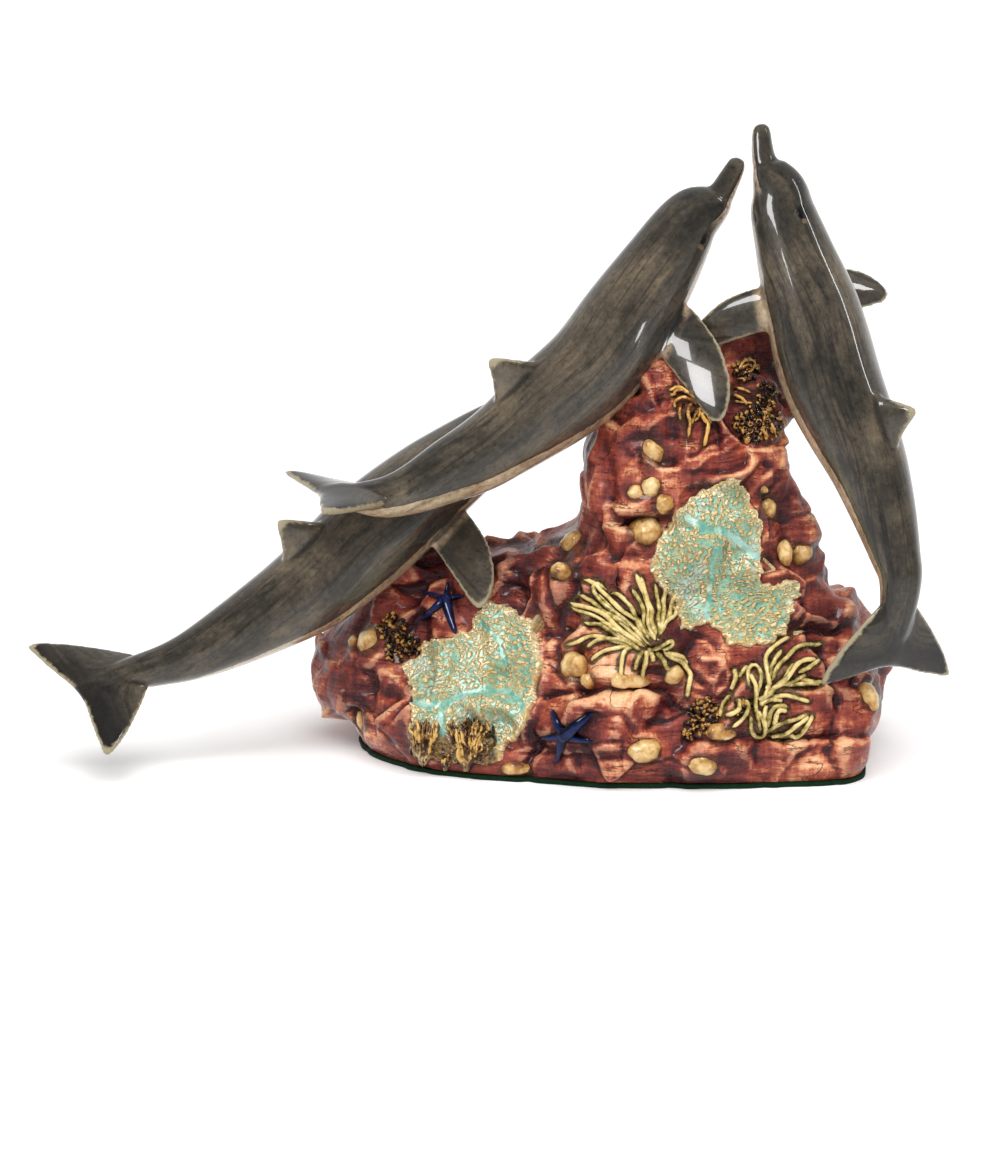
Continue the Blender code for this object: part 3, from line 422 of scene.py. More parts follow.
# The half length and half width in millimetres of an eye, its pale lid and the blowhole.
EYE_SIZE, LID_SIZE, BLOWHOLE_SIZE = (2.6, 1.8), (1.6, 1.1), (0.8, 1.5)
LID_BEHIND = 3.3
ROCK_STEP = 0.002
FRONT_TO = 0.012  # how far back the rock's front reaches, where the photograph shows it
UNDER_CRUST = 0.0012  # how much lower the rock is under a crust
ARM_STAIN, WEED_STAIN = 4.2, 5.0  # how wide the glaze ran by an arm, in pixels
# How the rock's wear is found: rounds of smoothing and the size that counts as 1.
CREASE_WEAR, SWELL_WEAR = (4, 0.00026), (45, 0.0012)
COARSE_ROWS, COARSE_COLUMNS = 160, 200  # the grid in which a crust's window is found
CRUST_MARGIN = 7.0  # pixels of the window outside the crust's outline
CRUST_ROOT = 0.014
CRUST_LUMPS = 0.0016
CUT_WANDER = 5.0  # pixels
SWIRL_CELLS, SWIRL_SCALE = 512, 4  # the square of swirls, and its cells to a pixel
PIXEL = 0.00045  # metres to a pixel, near the rock
ARM_FLAT, ARM_ENDS = 0.92, 0.083
SPRIG_SIDES = 6
SPRIG_LENGTHS = (1.0, 4.5)  # the shortest and the longest, in pixels
SPRIG_RADII = (0.00045, 0.00120)
SHELL_SWELL, SHELL_LEAST = 0.46, 0.0006  # a shell's height: a share of its half size, and more
SHELL_DOME = 3.2
SHELL_HINGE = 0.24  # how far off its middle the top lies
SHELL_RIBS, SHELL_RIB_RISE = 13, 0.020
SHELL_SKIRT = ((1.0, 0.0016), (0.9, 0.004))  # below the rim: how wide, and how deep in the clay
# The waves round a shell's rim: how many, how tall and how far each shell's are turned.
SHELL_LOBES = ((2, 0.08, 1.0), (3, 0.055, 2.3), (5, 0.035, 3.7), (8, 0.02, 1.3))
POLYP_SIDES, POLYP_AROUND = 8, 16
POLYP_RING, POLYP_VARIED = 0.00105, 0.00028
POLYP_TUBE, POLYP_RISE = 0.00042, 0.0013
STAR_STEPS, STAR_SIDES = 12, 12
# The felt's edge from below to above: how far out from its outline, and how high.
FELT_EDGE = (
    (-0.006, 0.0), (-0.0002, 0.0), (0.0, 0.0004), (0.0, 0.0016), (-0.0003, 0.002), (-0.006, 0.002),
)
# The glazes of the anemones and weeds, as weed_glaze takes them.
WEED_GLAZES = (
    ("olive_glaze", (20, 30, 12), (136, 118, 54), (226, 200, 134), 1.1, 0.24, 0.39, 0.7),
    ("amber_glaze", (26, 12, 6), (112, 64, 22), (214, 164, 84), 1.3, 0.40, 0.42, 0.7),
    ("umber_glaze", (14, 8, 5), (52, 30, 14), (184, 134, 64), 2.4, 0.60, 0.50, 0.6),
    ("ochre_glaze", (34, 18, 8), (106, 70, 28), (206, 164, 92), 2.2, 0.60, 0.53, 0.3),
)
# Bright panels: where each stands and what it faces.
HIGH_WINDOW = (-0.36, -0.70, 1.00), (0.0, 0.0, 0.16)
MELON_WINDOW = (-0.046, -0.108, 0.287), (0.071, -0.023, 0.247)
FLIPPER_PANE = (0.0316, -0.0449, 0.1771), (0.0426, -0.0288, 0.1726)
FLIPPER_TOP_PANE = (0.0248, -0.0394, 0.1928), (0.0343, -0.0228, 0.1868)
STRIP = (1.08, -0.26, 0.94), (0.11, -0.05, 0.22)
FLOOR_SIDE = 30.0
# Even random numbers from a sine: how fast it runs along each axis, its three phases and its scale.
HASH_WAYS = np.array([127.1, 311.7, 74.7])
HASH_PHASES = np.array([0.0, 57.3, 113.9])
HASH_SEED, HASH_SCALE = 19.19, 43758.5453


# Forms in numpy


def rows_at(rows, shares):
    """Rows of numbers read at shares of the way along them, on a cubic curve through every row."""
    rows = np.asarray(rows, float)
    slopes = np.gradient(rows, axis=0)
    at = np.clip(np.asarray(shares, float), 0.0, 1.0) * (len(rows) - 1)
    low = np.minimum(at.astype(int), len(rows) - 2)
    t = (at - low)[:, None]
    return (
        (2 * t**3 - 3 * t**2 + 1) * rows[low]
        + (t**3 - 2 * t**2 + t) * slopes[low]
        + (3 * t**2 - 2 * t**3) * rows[low + 1]
        + (t**3 - t**2) * slopes[low + 1]
    )


def unit(vectors):
    return vectors / np.maximum(np.linalg.norm(vectors, axis=-1, keepdims=True), 1e-12)


def circle(sides):
    """Angles evenly round a circle."""
    return np.linspace(0.0, 2 * math.pi, sides, endpoint=False)


def eased(values, low, high):
    """Rises smoothly from 0 at low to 1 at high: 3t^2 - 2t^3 of the share t of the way."""
    t = np.clip((values - low) / (high - low), 0.0, 1.0)
    return t * t * (3.0 - 2.0 * t)


def hashed(cells, seed):
    """Three even random numbers for each whole-number cell, the same each time."""
    mixed = (cells * HASH_WAYS).sum(axis=-1, keepdims=True) + seed * HASH_SEED
    return np.modf(np.abs(np.sin(mixed + HASH_PHASES) * HASH_SCALE))[0]


def cloud(points, cell, seed):
    """Soft noise from 0 to 1: random values at a grid's corners, blended by eased shares."""
    scaled = points / cell
    base = np.floor(scaled)
    near = eased(scaled - base, 0.0, 1.0)
    total = np.zeros(len(points))
    for corner in np.ndindex(2, 2, 2):
        share = np.where(np.array(corner) == 1, near, 1.0 - near).prod(axis=1)
        total += share * hashed(base + corner, seed)[..., 0]
    return total


def facets(points, cell, seed):
    """Tilted planes, one for each cell of a jittered grid, blended over a narrow line between."""
    scaled = points / cell
    base = np.floor(scaled)
    total, weight = np.zeros((2, len(points)))
    for corner in np.ndindex(3, 3, 3):
        grid = base + np.array(corner) - 1.0
        away = scaled - (grid + hashed(grid, seed))
        plane = ((hashed(grid, seed + 5) - 0.5) * FACET_TILT * away).sum(axis=-1)
        plane += hashed(grid, seed + 9)[..., 0] - 0.5
        share = np.exp(-FACET_SHARPNESS * (away**2).sum(axis=-1))
        total += share * plane
        weight += share
    return total / (weight + 1e-12)


def creases(points, cell, seed):
    """Flat faces with sharp creases: a grid's corners at random heights, joined by tetrahedra."""
    scaled = points / cell
    corner = np.floor(scaled)
    near = scaled - corner
    order = np.argsort(-near, axis=1)
    steps = np.take_along_axis(near, order, axis=1)
    shares = -np.diff(np.pad(steps, ((0, 0), (1, 1)), constant_values=((0, 0), (1, 0))), axis=1)
    total = shares[:, 0] * hashed(corner, seed)[:, 0]
    for k in range(3):
        axis = order[:, k:k + 1]
        np.put_along_axis(corner, axis, np.take_along_axis(corner, axis, axis=1) + 1, axis=1)
        total += shares[:, k + 1] * hashed(corner, seed)[:, 0]
    return total - 0.5


def winding_ridges(size, period, seed):
    """A square of random waves of about one length only, from -1 to 1, tileable."""
    waves = np.fft.rfft2(np.random.default_rng(seed).standard_normal((size, size)))
    length = np.sqrt(np.fft.fftfreq(size)[:, None] ** 2 + np.fft.rfftfreq(size)[None] ** 2) * period
    ridges = np.fft.irfft2(waves * np.exp(-(((length - 1.0) / 0.42) ** 2)), (size, size))
    return np.tanh(1.6 * ridges / ridges.std())


def read_square(square, x, y):
    """A repeating square of values read between its cells by straight blending."""
    column, row = np.floor(x).astype(int), np.floor(y).astype(int)
    right, up = x - column, y - row
    value = 0.0
    for down, across in np.ndindex(2, 2):
        cells = square[(row + down) % len(square), (column + across) % len(square)]
        value = value + cells * (up if down else 1.0 - up) * (right if across else 1.0 - right)
    return value


CAMERA_WAY = unit(CAMERA_TARGET - CAMERA_AT)
CAMERA_RIGHT = np.array([1.0, 0.0, 0.0])
CAMERA_UP = np.cross(CAMERA_RIGHT, CAMERA_WAY)
MIRROR = np.array([1.0, -1.0, 1.0])


def pixels_of(points):
    """Where the photograph shows each point: its slopes from the camera's axis, in pixels."""
    away = points - CAMERA_AT
    depth = away @ CAMERA_WAY
    across = PHOTO_WIDTH / 2 + (away @ CAMERA_RIGHT) / depth * PIXELS_PER_SLOPE
    down = PHOTO_HEIGHT / 2 - (away @ CAMERA_UP) / depth * PIXELS_PER_SLOPE
    return np.stack([across, down], axis=-1)


def line_distance(spots, line):
    """Distance from each spot to a line through flat points."""
    nearest = np.full(len(spots), np.inf)
    for start, end in zip(line[:-1], line[1:]):
        start, step = np.array(start, float), np.array(end, float) - np.array(start, float)
        along = np.clip(((spots - start) @ step) / (step @ step), 0.0, 1.0)
        away = np.linalg.norm(spots - start - along[:, None] * step, axis=1)
        nearest = np.minimum(nearest, away)
    return nearest


def inside_by(spots, outline):
    """How far each spot lies inside a closed outline, negative outside it."""
    ring = np.array((*outline, outline[0]), float)
    crossings = np.zeros(len(spots), int)
    for (x0, y0), (x1, y1) in zip(ring[:-1], ring[1:]):
        if y0 != y1:
            between = (spots[:, 1] > min(y0, y1)) & (spots[:, 1] <= max(y0, y1))
            crossings += between & (spots[:, 0] < x0 + (spots[:, 1] - y0) * (x1 - x0) / (y1 - y0))
    return line_distance(spots, ring) * np.where(crossings % 2 == 1, 1.0, -1.0)


def near_oval(spots, x, y, half_x, half_y, full, gone):
    """1 up to a share of an oval's size, fading to 0 at another share of it."""
    return 1.0 - eased(np.hypot((spots[:, 0] - x) / half_x, (spots[:, 1] - y) / half_y), full, gone)


# Meshes


def grid_quads(rows, columns, wrap_rows=0, wrap_columns=1):
    """Four-sided faces of a grid whose columns may run round, and whose rows may too."""
    index = np.arange(rows * columns).reshape(rows, columns)
    index = np.pad(index, ((0, wrap_rows), (0, wrap_columns)), "wrap")
    faces = np.stack([index[:-1, :-1], index[:-1, 1:], index[1:, 1:], index[1:, :-1]], axis=-1)
    return faces.reshape(-1, 4)


def bunch_faces(count, rows, columns):
    """Faces of many closed tubes: each is a grid whose two ends run to a pole of their own."""
    each = rows * columns + 2
    around = np.arange(columns)
    after = (around + 1) % columns
    first, last = np.full(columns, each - 2), np.full(columns, each - 1)
    top = (rows - 1) * columns
    fans = np.concatenate([
        np.stack([first, after, around], axis=1),
        np.stack([last, top + around, top + after], axis=1),
    ])
    shift = np.arange(count)[:, None, None] * each
    return (grid_quads(rows, columns) + shift).reshape(-1, 4), (fans + shift).reshape(-1, 3)


def with_poles(tubes):
    """Points or values of tubes (count, rows, columns, ...), each with its two poles' after it."""
    rest = tubes.shape[3:]
    poles = np.stack([tubes[:, 0].mean(axis=1), tubes[:, -1].mean(axis=1)], axis=1)
    return np.concatenate([tubes.reshape(len(tubes), -1, *rest), poles], axis=1).reshape(-1, *rest)


def turned_out(points, quads, fans):
    """The faces with their sides swapped if the volume that they enclose comes out negative."""
    corners = points[np.concatenate([quads[:, (0, 1, 2)], quads[:, (0, 2, 3)], fans])]
    volume = (np.cross(corners[:, 0], corners[:, 1]) * corners[:, 2]).sum()
    return (quads, fans) if volume > 0 else (quads[:, ::-1], fans[:, ::-1])


def added(name, data):
    """A new object in the scene."""
    made = bpy.data.objects.new(name, data)
    bpy.context.scene.collection.objects.link(made)
    return made


def piece(name, points, quads, fans, material, values=None):
    """A smooth mesh object from arrays, with named values on its points."""
    quads, fans = turned_out(points, quads, np.asarray(fans, int).reshape(-1, 3))
    mesh = bpy.data.meshes.new(name)
    mesh.from_pydata(points.tolist(), [], quads.tolist() + fans.tolist())
    return dressed(name, mesh, material, values or {})


def dressed(name, mesh, material, values):
    """Makes the piece of a mesh: smooth, with its values and its glaze."""
    for key, numbers in values.items():
        layer = mesh.attributes.new(key, "FLOAT", "POINT")
        layer.data.foreach_set("value", np.asarray(numbers, np.float32).ravel())
    mesh.shade_smooth()
    mesh.materials.append(material)
    made = added(name, mesh)
    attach(made, "root")
    return made


def tube_piece(name, tubes, material, values=None):
    """A piece of closed tubes (count, rows, columns, 3), with values spread over their points."""
    shape = tubes.shape[:3]
    spread = {key: with_poles(np.broadcast_to(v, shape)) for key, v in (values or {}).items()}
    return piece(name, with_poles(tubes), *bunch_faces(*shape), material, spread)


def relaxed(points, edges, rounds, share):
    """Each round moves every point a share of the way to the middle of its neighbours."""
    count = len(points)
    neighbours = np.bincount(edges.ravel(), minlength=count)[:, None]
    for _ in range(rounds):
        total = np.stack([
            np.bincount(edges[:, 0], points[edges[:, 1], k], count)
            + np.bincount(edges[:, 1], points[edges[:, 0], k], count)
            for k in range(3)
        ], axis=1)
        points = points + (total / neighbours - points) * share
    return points


def read(items, key, width, kind=float):
    """Numbers of a mesh's points or edges, as rows of an array."""
    numbers = np.empty(len(items) * width, kind)
    items.foreach_get(key, numbers)
    return numbers.reshape(-1, width)


def move(mesh, points):
    """Puts a mesh's points at new places."""
    mesh.vertices.foreach_set("co", points.astype(np.float32).ravel())
    mesh.update()


# Dolphins


class Dolphin:
    """A body bent along its pose. frame(share) gives the centre there and three directions."""

    FINE = 600

    def __init__(self, pose, turn):
        fine = rows_at(pose, np.linspace(0.0, 1.0, self.FINE))
        self.centre = fine[:, :3] * HEIGHT
        steps = np.linalg.norm(np.diff(self.centre, axis=0), axis=1)
        self.length = steps.sum()
        self.share = np.concatenate([[0.0], np.cumsum(steps)]) / self.length
        self.girth = fine[:, 4]
        forward = -unit(np.gradient(self.centre, axis=0))
        seen = unit(np.stack([-forward[:, 2], 0 * forward[:, 1], forward[:, 0]], axis=1)) * turn
        lean = np.radians(fine[:, 3])[:, None]
        back = np.cos(lean) * seen + np.sin(lean) * np.array([0.0, -1.0, 0.0])
        back -= (back * forward).sum(axis=1, keepdims=True) * forward
        self.forward = forward
        self.back = unit(back)
        self.left = np.cross(self.back, forward)
        self.profile = rows_at(BODY_PROFILE, np.linspace(0.0, 1.0, self.FINE))

    def at(self, values, share):
        columns = np.atleast_2d(values.T)
        return np.stack([np.interp(share, self.share, column) for column in columns], axis=-1)

    def frame(self, share):
        """Centre, forward, back and left directions at a share of the length from the beak."""
        directions = (self.forward, self.back, self.left)
        return (self.at(self.centre, share), *(unit(self.at(d, share)) for d in directions))

    def reach(self, share):
        """How far the body reaches to the back, to the belly and to each side, in metres."""
        girth = self.at(self.girth, share)[..., 0]
        columns = [np.interp(share, self.profile[:, 0], self.profile[:, k]) for k in (1, 2, 3)]
        return [np.asarray(column) * self.length * girth for column in columns]

    def nearest(self, points):
        """For each point: its share along, then its reach from the centreline to back and left."""
        squares = (self.centre**2).sum(axis=1)
        found = np.concatenate([
            (squares - 2.0 * chunk @ self.centre.T).argmin(axis=1)
            for chunk in np.array_split(points, 1 + len(points) // 8000)
        ])
        away = points - self.centre[found]
        ahead = (away * self.forward[found]).sum(axis=1)
        share = self.share[found] - ahead / self.length
        return share, (away * self.back[found]).sum(axis=1), (away * self.left[found]).sum(axis=1)


def body_rings(dolphin):
    """Rings round the body, an ellipse at each share that reaches further to back or belly."""
    share = rows_at(np.array(BODY_PROFILE)[:, :1], np.linspace(0.0, 1.0, BODY_RINGS))[:, 0]
    centre, _, back, left = dolphin.frame(share)
    to_back, to_belly, to_side = dolphin.reach(share)
    up, across = np.cos(circle(BODY_SIDES)), np.sin(circle(BODY_SIDES))
    height = np.where(up > 0, to_back[:, None], to_belly[:, None]) * up
    width = to_side[:, None] * across
    return centre[:, None] + height[..., None] * back[:, None] + width[..., None] * left[:, None]


def fin_rings(root, out, forward, span, outline, thickness):
    """Sections of a fin: an ellipse from its trailing to its leading edge, at each reach."""
    rows = rows_at(outline, np.linspace(0.0, 1.0, FIN_RINGS))
    across = unit(np.cross(out, forward))
    chord_way = unit(np.cross(across, out))
    angle = circle(FIN_SIDES)
    reach, leading, trailing, share = rows.T[:, :, None]
    middle = root + out * (reach * span)[..., None]
    middle = middle + chord_way * ((leading + trailing) / 2 * span)[..., None]
    chord = ((leading - trailing) / 2 * span * np.cos(angle))[..., None] * chord_way
    return middle + chord + (thickness / 2 * share * np.sin(angle))[..., None] * across


def fins_of(dolphin, fin_at, flippers):
    """Every fin's rings and the place of its root on the skin."""
    centre, forward, back, _ = dolphin.frame(fin_at)
    root = centre + back * dolphin.reach(fin_at)[0] * DORSAL_FIN_SUNK
    span = DORSAL_FIN_SPAN * dolphin.length
    made = [(fin_rings(root, back, forward, span, DORSAL_FIN_OUTLINE, DORSAL_FIN_THICKNESS), root)]
    centre, forward, back, left = dolphin.frame(FLIPPER_AT)
    _, to_belly, to_side = dolphin.reach(FLIPPER_AT)
    low = math.radians(FLIPPER_SET)
    for side, droop, sweep, stretch in flippers:
        root = centre + left * side * to_side * math.cos(low) - back * to_belly * math.sin(low)
        fall, rake = math.radians(droop), math.radians(sweep)
        out = unit(left * side * math.cos(fall) - back * math.sin(fall) - forward * math.tan(rake))
        span = FLIPPER_SPAN * stretch * dolphin.length
        made.append((fin_rings(root, out, forward, span, FLIPPER_OUTLINE, FLIPPER_THICKNESS), root))
    centre, forward, _, left = dolphin.frame(FLUKE_AT)
    span = FLUKE_SPAN * dolphin.length
    for side in (1, -1):
        rings = fin_rings(centre, left * side, forward, span, FLUKE_OUTLINE, FLUKE_THICKNESS)
        made.append((rings, centre + forward * span * 0.5))
    return made


def remeshed(grids):
    """Closed tubes melted into one skin of even small faces."""
    points, quads, fans, start = [], [], [], 0
    for grid in grids:
        points.append(with_poles(grid[None]))
        faces = turned_out(points[-1], *bunch_faces(1, *grid.shape[:2]))
        quads += (faces[0] + start).tolist()
        fans += (faces[1] + start).tolist()
        start += len(points[-1])
    mesh = bpy.data.meshes.new("clay")
    mesh.from_pydata(np.concatenate(points).tolist(), [], quads + fans)
    lump = added("clay", mesh)
    melt = lump.modifiers.new("melt", "REMESH")
    melt.mode = "VOXEL"
    melt.voxel_size = SKIN_PITCH
    graph = bpy.context.evaluated_depsgraph_get()
    skin = bpy.data.meshes.new_from_object(lump.evaluated_get(graph))
    bpy.data.objects.remove(lump)
    return skin


def eyes_of(name, dolphin, points):
    """Where the eyes are: the nearest point of the skin at each eye's pixel, and the one across."""
    found, spots = [], pixels_of(points)
    for place in EYES[name]:
        near = np.flatnonzero(((spots - place) ** 2).sum(axis=1) < EYE_PIXELS**2)
        found.append(points[near[np.linalg.norm(points[near] - CAMERA_AT, axis=1).argmin()]])
    hidden = () if found else ((USUAL_EYE, 0.0, 1), (USUAL_EYE, 0.0, -1))
    if len(found) == 1:
        share, up, left = (float(v[0]) for v in dolphin.nearest(np.array(found)))
        hidden = ((share, up, -left),)
    for share, up, left in hidden:
        centre, _, back, left_way = dolphin.frame(share)
        way = unit(back * up + left_way * left)
        across = points - centre
        off_line = np.linalg.norm(across - (across @ way)[:, None] * way, axis=1)
        found.append(points[np.where(across @ way > 0, off_line, np.inf).argmin()])
    return found


def make_dolphin(name, pose, turn, fin_at, flippers, material):
    """Melts the body and its fins together, fillets their roots and notes where each point lies."""
    dolphin = Dolphin(pose, turn)
    fins = fins_of(dolphin, fin_at, flippers)
    skin = remeshed([body_rings(dolphin), *(rings for rings, _ in fins)])
    count = len(skin.vertices)
    points, edges = read(skin.vertices, "co", 3), read(skin.edges, "vertices", 2, int)
    for _ in range(SKIN_ROUNDS):
        points = relaxed(relaxed(points, edges, 1, SKIN_PUSH), edges, 1, SKIN_PULL)
    near_root = np.zeros(count)
    for _, root in fins[:3]:
        away = np.linalg.norm(points - root, axis=1)
        near_root = np.maximum(near_root, 1.0 - eased(away, 0.4 * FILLET_REACH, 2.0 * FILLET_REACH))
    points += (relaxed(points, edges, ROOT_ROUNDS, 0.6) - points) * near_root[:, None] * 0.7
    share, to_back, to_left = dolphin.nearest(points)
    radius = np.maximum(np.hypot(to_back, to_left), 1e-6)
    up = to_back / radius
    deep, belly, side = dolphin.reach(np.clip(share, 0.0, 1.0))
    skin_radius = np.where(to_back > 0, deep, belly)
    on_body = 1.0 - eased(radius / np.maximum(np.maximum(skin_radius, side), 1e-6), 1.08, 1.25)
    handmade = cloud(points, 0.021, 31) + 0.5 * cloud(points, 0.011, 32) - 0.75
    smooth = relaxed(points, edges, WEAR_ROUNDS, 0.6)
    move(skin, points)
    normals = read(skin.vertices, "normal", 3)
    wear = ((points - smooth) * normals).sum(axis=1) / SKIN_WEAR
    points = points + normals * (handmade * HAND_LUMPS * (1.0 - np.clip(wear, 0.0, 1.0)))[:, None]
    move(skin, points)
    length = dolphin.length / MILLIMETRE
    chest, tail = BELLIES[name]
    belly_top = chest + (tail - chest) * eased(share, 0.25, 0.9)
    mouth_line = MOUTHS[name] + 24.0 * np.maximum(share, 0.0) ** 2
    blow_ahead = (share - BLOWHOLE_AT) * length
    blow_gap = np.hypot(blow_ahead / BLOWHOLE_SIZE[0], to_left / MILLIMETRE / BLOWHOLE_SIZE[1])
    eye_gap, lid_gap = np.full((2, count), FAR)
    for eye in eyes_of(name, dolphin, points):
        ahead = (share - dolphin.nearest(eye[None])[0][0]) * length
        aside = (((points - eye) / MILLIMETRE) ** 2).sum(axis=1) - ahead**2
        aside = np.sqrt(np.maximum(aside, 0.0))
        eye_gap = np.minimum(eye_gap, np.hypot(ahead / EYE_SIZE[0], aside / EYE_SIZE[1]))
        lid_ahead = ahead - LID_BEHIND
        lid_gap = np.minimum(lid_gap, np.hypot(lid_ahead / LID_SIZE[0], aside / LID_SIZE[1]))
    return dressed(name, skin, material, {
        "along": share * length,
        "around": np.arctan2(to_left, to_back) * skin_radius / MILLIMETRE,
        "back_way": up,
        "belly": belly_top - up,
        "on_body": on_body,
        "wear": np.clip(wear, -1.5, 1.5),
        "mouth": (up - mouth_line) * radius / MILLIMETRE,
        "gape": (share - MOUTH_TO) * length,
        "tail": eased(share, 0.90, 0.98),
        "eye_gap": eye_gap,
        "lid_gap": lid_gap,
        "blow_gap": np.where(to_back > 0, blow_gap, FAR),
    })


# Rock


def rock_form(level, turn):
    """Each level is an ellipse squared at its ends: |cos|^n + |sin|^n = 1 scaled to its reaches.

    The front of the left ledge falls back as it rises, and the left end bends away.
    """
    rows = rows_at(ROCK_LEVELS, level.ravel()).T.reshape(7, *level.shape)
    height, left, right, front, behind, left_square, right_square = rows
    angle = turn - FRONT_CROWDING * np.cos(turn)
    across, along = np.cos(angle), np.sin(angle)
    square = left_square + (right_square - left_square) * (1 + across) / 2
    reach = (np.abs(across) ** square + np.abs(along) ** square) ** (-1 / square)
    x = (left + right) / 2 + (right - left) / 2 * reach * across
    y_middle = (front + behind) / 2
    y = y_middle + (behind - front) / 2 * reach * along
    on_ledge = np.clip((LEDGE_FROM - x) / (LEDGE_FROM - LEDGE_TO), 0.0, 1.0)
    fall = (LEDGE_SET_BACK + LEDGE_SLOPE * np.minimum(height, LEDGE_TOP)) * on_ledge
    y = y_middle + (y - y_middle) * np.where(along < 0, 1.0 - fall, 1.0)
    y = y + ROCK_BEND * np.maximum(0.0, ROCK_BEND_FROM - x)
    return np.stack([x, y, height + 0 * x], axis=-1)


def places_of(points):
    """Where the camera sees each point on the upright plane through the origin, in shares."""
    eye = CAMERA_AT / HEIGHT
    toward = eye[1] / (eye[1] - points[:, 1:2])
    return (eye + (points - eye) * toward)[:, [0, 2]]


def rock_skin(level, turn, rough=1.0):
    """The rock's surface and its outward normal, in metres.

    Chopped faces, clefts and tool cuts are added along the smooth form's normal. rough is the share
    kept of the finest chips and cuts.
    """
    level, turn = np.broadcast_arrays(level, turn)
    step = ROCK_STEP
    form = rock_form(level, turn)
    ring_way = rock_form(level, turn + step) - rock_form(level, turn - step)
    above, below = np.minimum(level + step, 1.0), np.maximum(level - step, 0.0)
    rise = rock_form(above, turn) - rock_form(below, turn)
    normal = unit(np.cross(ring_way, rise))
    points = form.reshape(-1, 3)
    places, spots = places_of(points), pixels_of(points * HEIGHT)
    sway = np.stack([cloud(points, 0.07, seed) for seed in (45, 46, 47)], axis=1) - 0.5
    bent = points + sway * FACET_BEND
    relief = sum(depth * facets(bent, cell, seed) for cell, depth, seed in ROCK_FACETS)
    straight = np.exp(-(((points[:, 0] - PILLAR_EDGE) / 0.045) ** 2))
    straight = straight * eased(points[:, 2], 0.30, 0.37)
    relief = relief * (1.0 - 0.6 * straight)
    front = np.clip(-points[:, 1] / CLEFT_FADE, 0.0, 1.0)
    for line, half_width, depth in ROCK_CLEFTS:
        relief -= front * depth * np.exp(-((line_distance(places, line) / half_width) ** 2))
    warped = points + (cloud(points, 0.09, 44)[:, None] - 0.5) * 0.03
    turned = warped * np.array([1.0, 1.0, math.cos(CREASE_TURN)])
    turned[:, 2] += warped[:, 0] * math.sin(CREASE_TURN) * 0.5 + warped[:, 1] * 0.6
    chips = sum(
        depth * creases(turned / np.array([stretch, 1.0, 1.0]), cell, seed)
        for cell, depth, stretch, seed in ROCK_CREASES
    )
    wander = (cloud(points, 0.02, 41) - 0.5) * CUT_WANDER
    cuts = np.zeros(len(points))
    for line, half_width, depth in TOOL_CUTS:
        gap = line_distance(spots + wander[:, None], line)
        cuts -= front * depth * MILLIMETRE / HEIGHT * np.exp(-((gap / half_width) ** 2))
    base_calm = (0.35 + 0.65 * eased(points[:, 2], 0.03, 0.10)) * (1.0 - 0.5 * straight)
    relief += rough * (chips * np.where(points[:, 1] < 0, base_calm, 1.0) + cuts)
    relief = relief.reshape(level.shape)[..., None]
    relief = relief * np.clip(ROCK_FOOT_CALM + form[..., 2:] / ROCK_CALM_BELOW, 0.0, 1.0)
    grid = form + relief * normal
    lip = ROCK_LIP * np.clip(level * ROCK_LIP_LEVEL, 0.0, 1.0)
    grid[..., 2] = np.where(level <= 0.0, 0.0, np.maximum(grid[..., 2], lip))
    room = ROCK_BACK_TO - ROCK_BACK_FROM
    past = np.tanh(np.maximum(grid[..., 1] - ROCK_BACK_FROM, 0.0) / room)
    grid[..., 1] = np.minimum(grid[..., 1], ROCK_BACK_FROM) + past * room
    return grid * HEIGHT + np.array([0.0, 0.0, FELT_THICKNESS + GLUE_LINE]), normal


def grid_wear(points, normal, rounds, size):
    """How far each point stands out from its grid smoothed by so many rounds, over a size."""
    smooth = points
    for _ in range(rounds):
        padded = np.concatenate([smooth[:1], smooth, smooth[-1:]])
        sides = np.roll(smooth, 1, axis=1) + np.roll(smooth, -1, axis=1)
        smooth = smooth * 0.4 + (padded[:-2] + padded[2:] + sides) * 0.15
    return np.clip(((points - smooth) * normal).sum(axis=-1) / size, -2.0, 2.0).reshape(-1)


def even_route(places, steps):
    """A smooth line through a few pixels, as so many evenly spaced ones."""
    fine = rows_at(places, np.linspace(0.0, 1.0, 90))
    walked = np.concatenate([[0.0], np.cumsum(np.linalg.norm(np.diff(fine, axis=0), axis=1))])
    at = np.linspace(0.0, walked[-1], steps)
    return np.stack([np.interp(at, walked, fine[:, k]) for k in (0, 1)], axis=1)


def nearness(spots, routes, reach):
    """1 on any of the routes in pixels, fading to 0 at about twice the reach."""
    gap = np.full(len(spots), np.inf)
    for route in routes:
        low, high = np.min(route, axis=0) - 3 * reach, np.max(route, axis=0) + 3 * reach
        near = ((spots > low) & (spots < high)).all(axis=1)
        gap[near] = np.minimum(gap[near], line_distance(spots[near], even_route(route, 8)))
    return 1.0 - eased(gap, 0.4 * reach, 1.6 * reach)


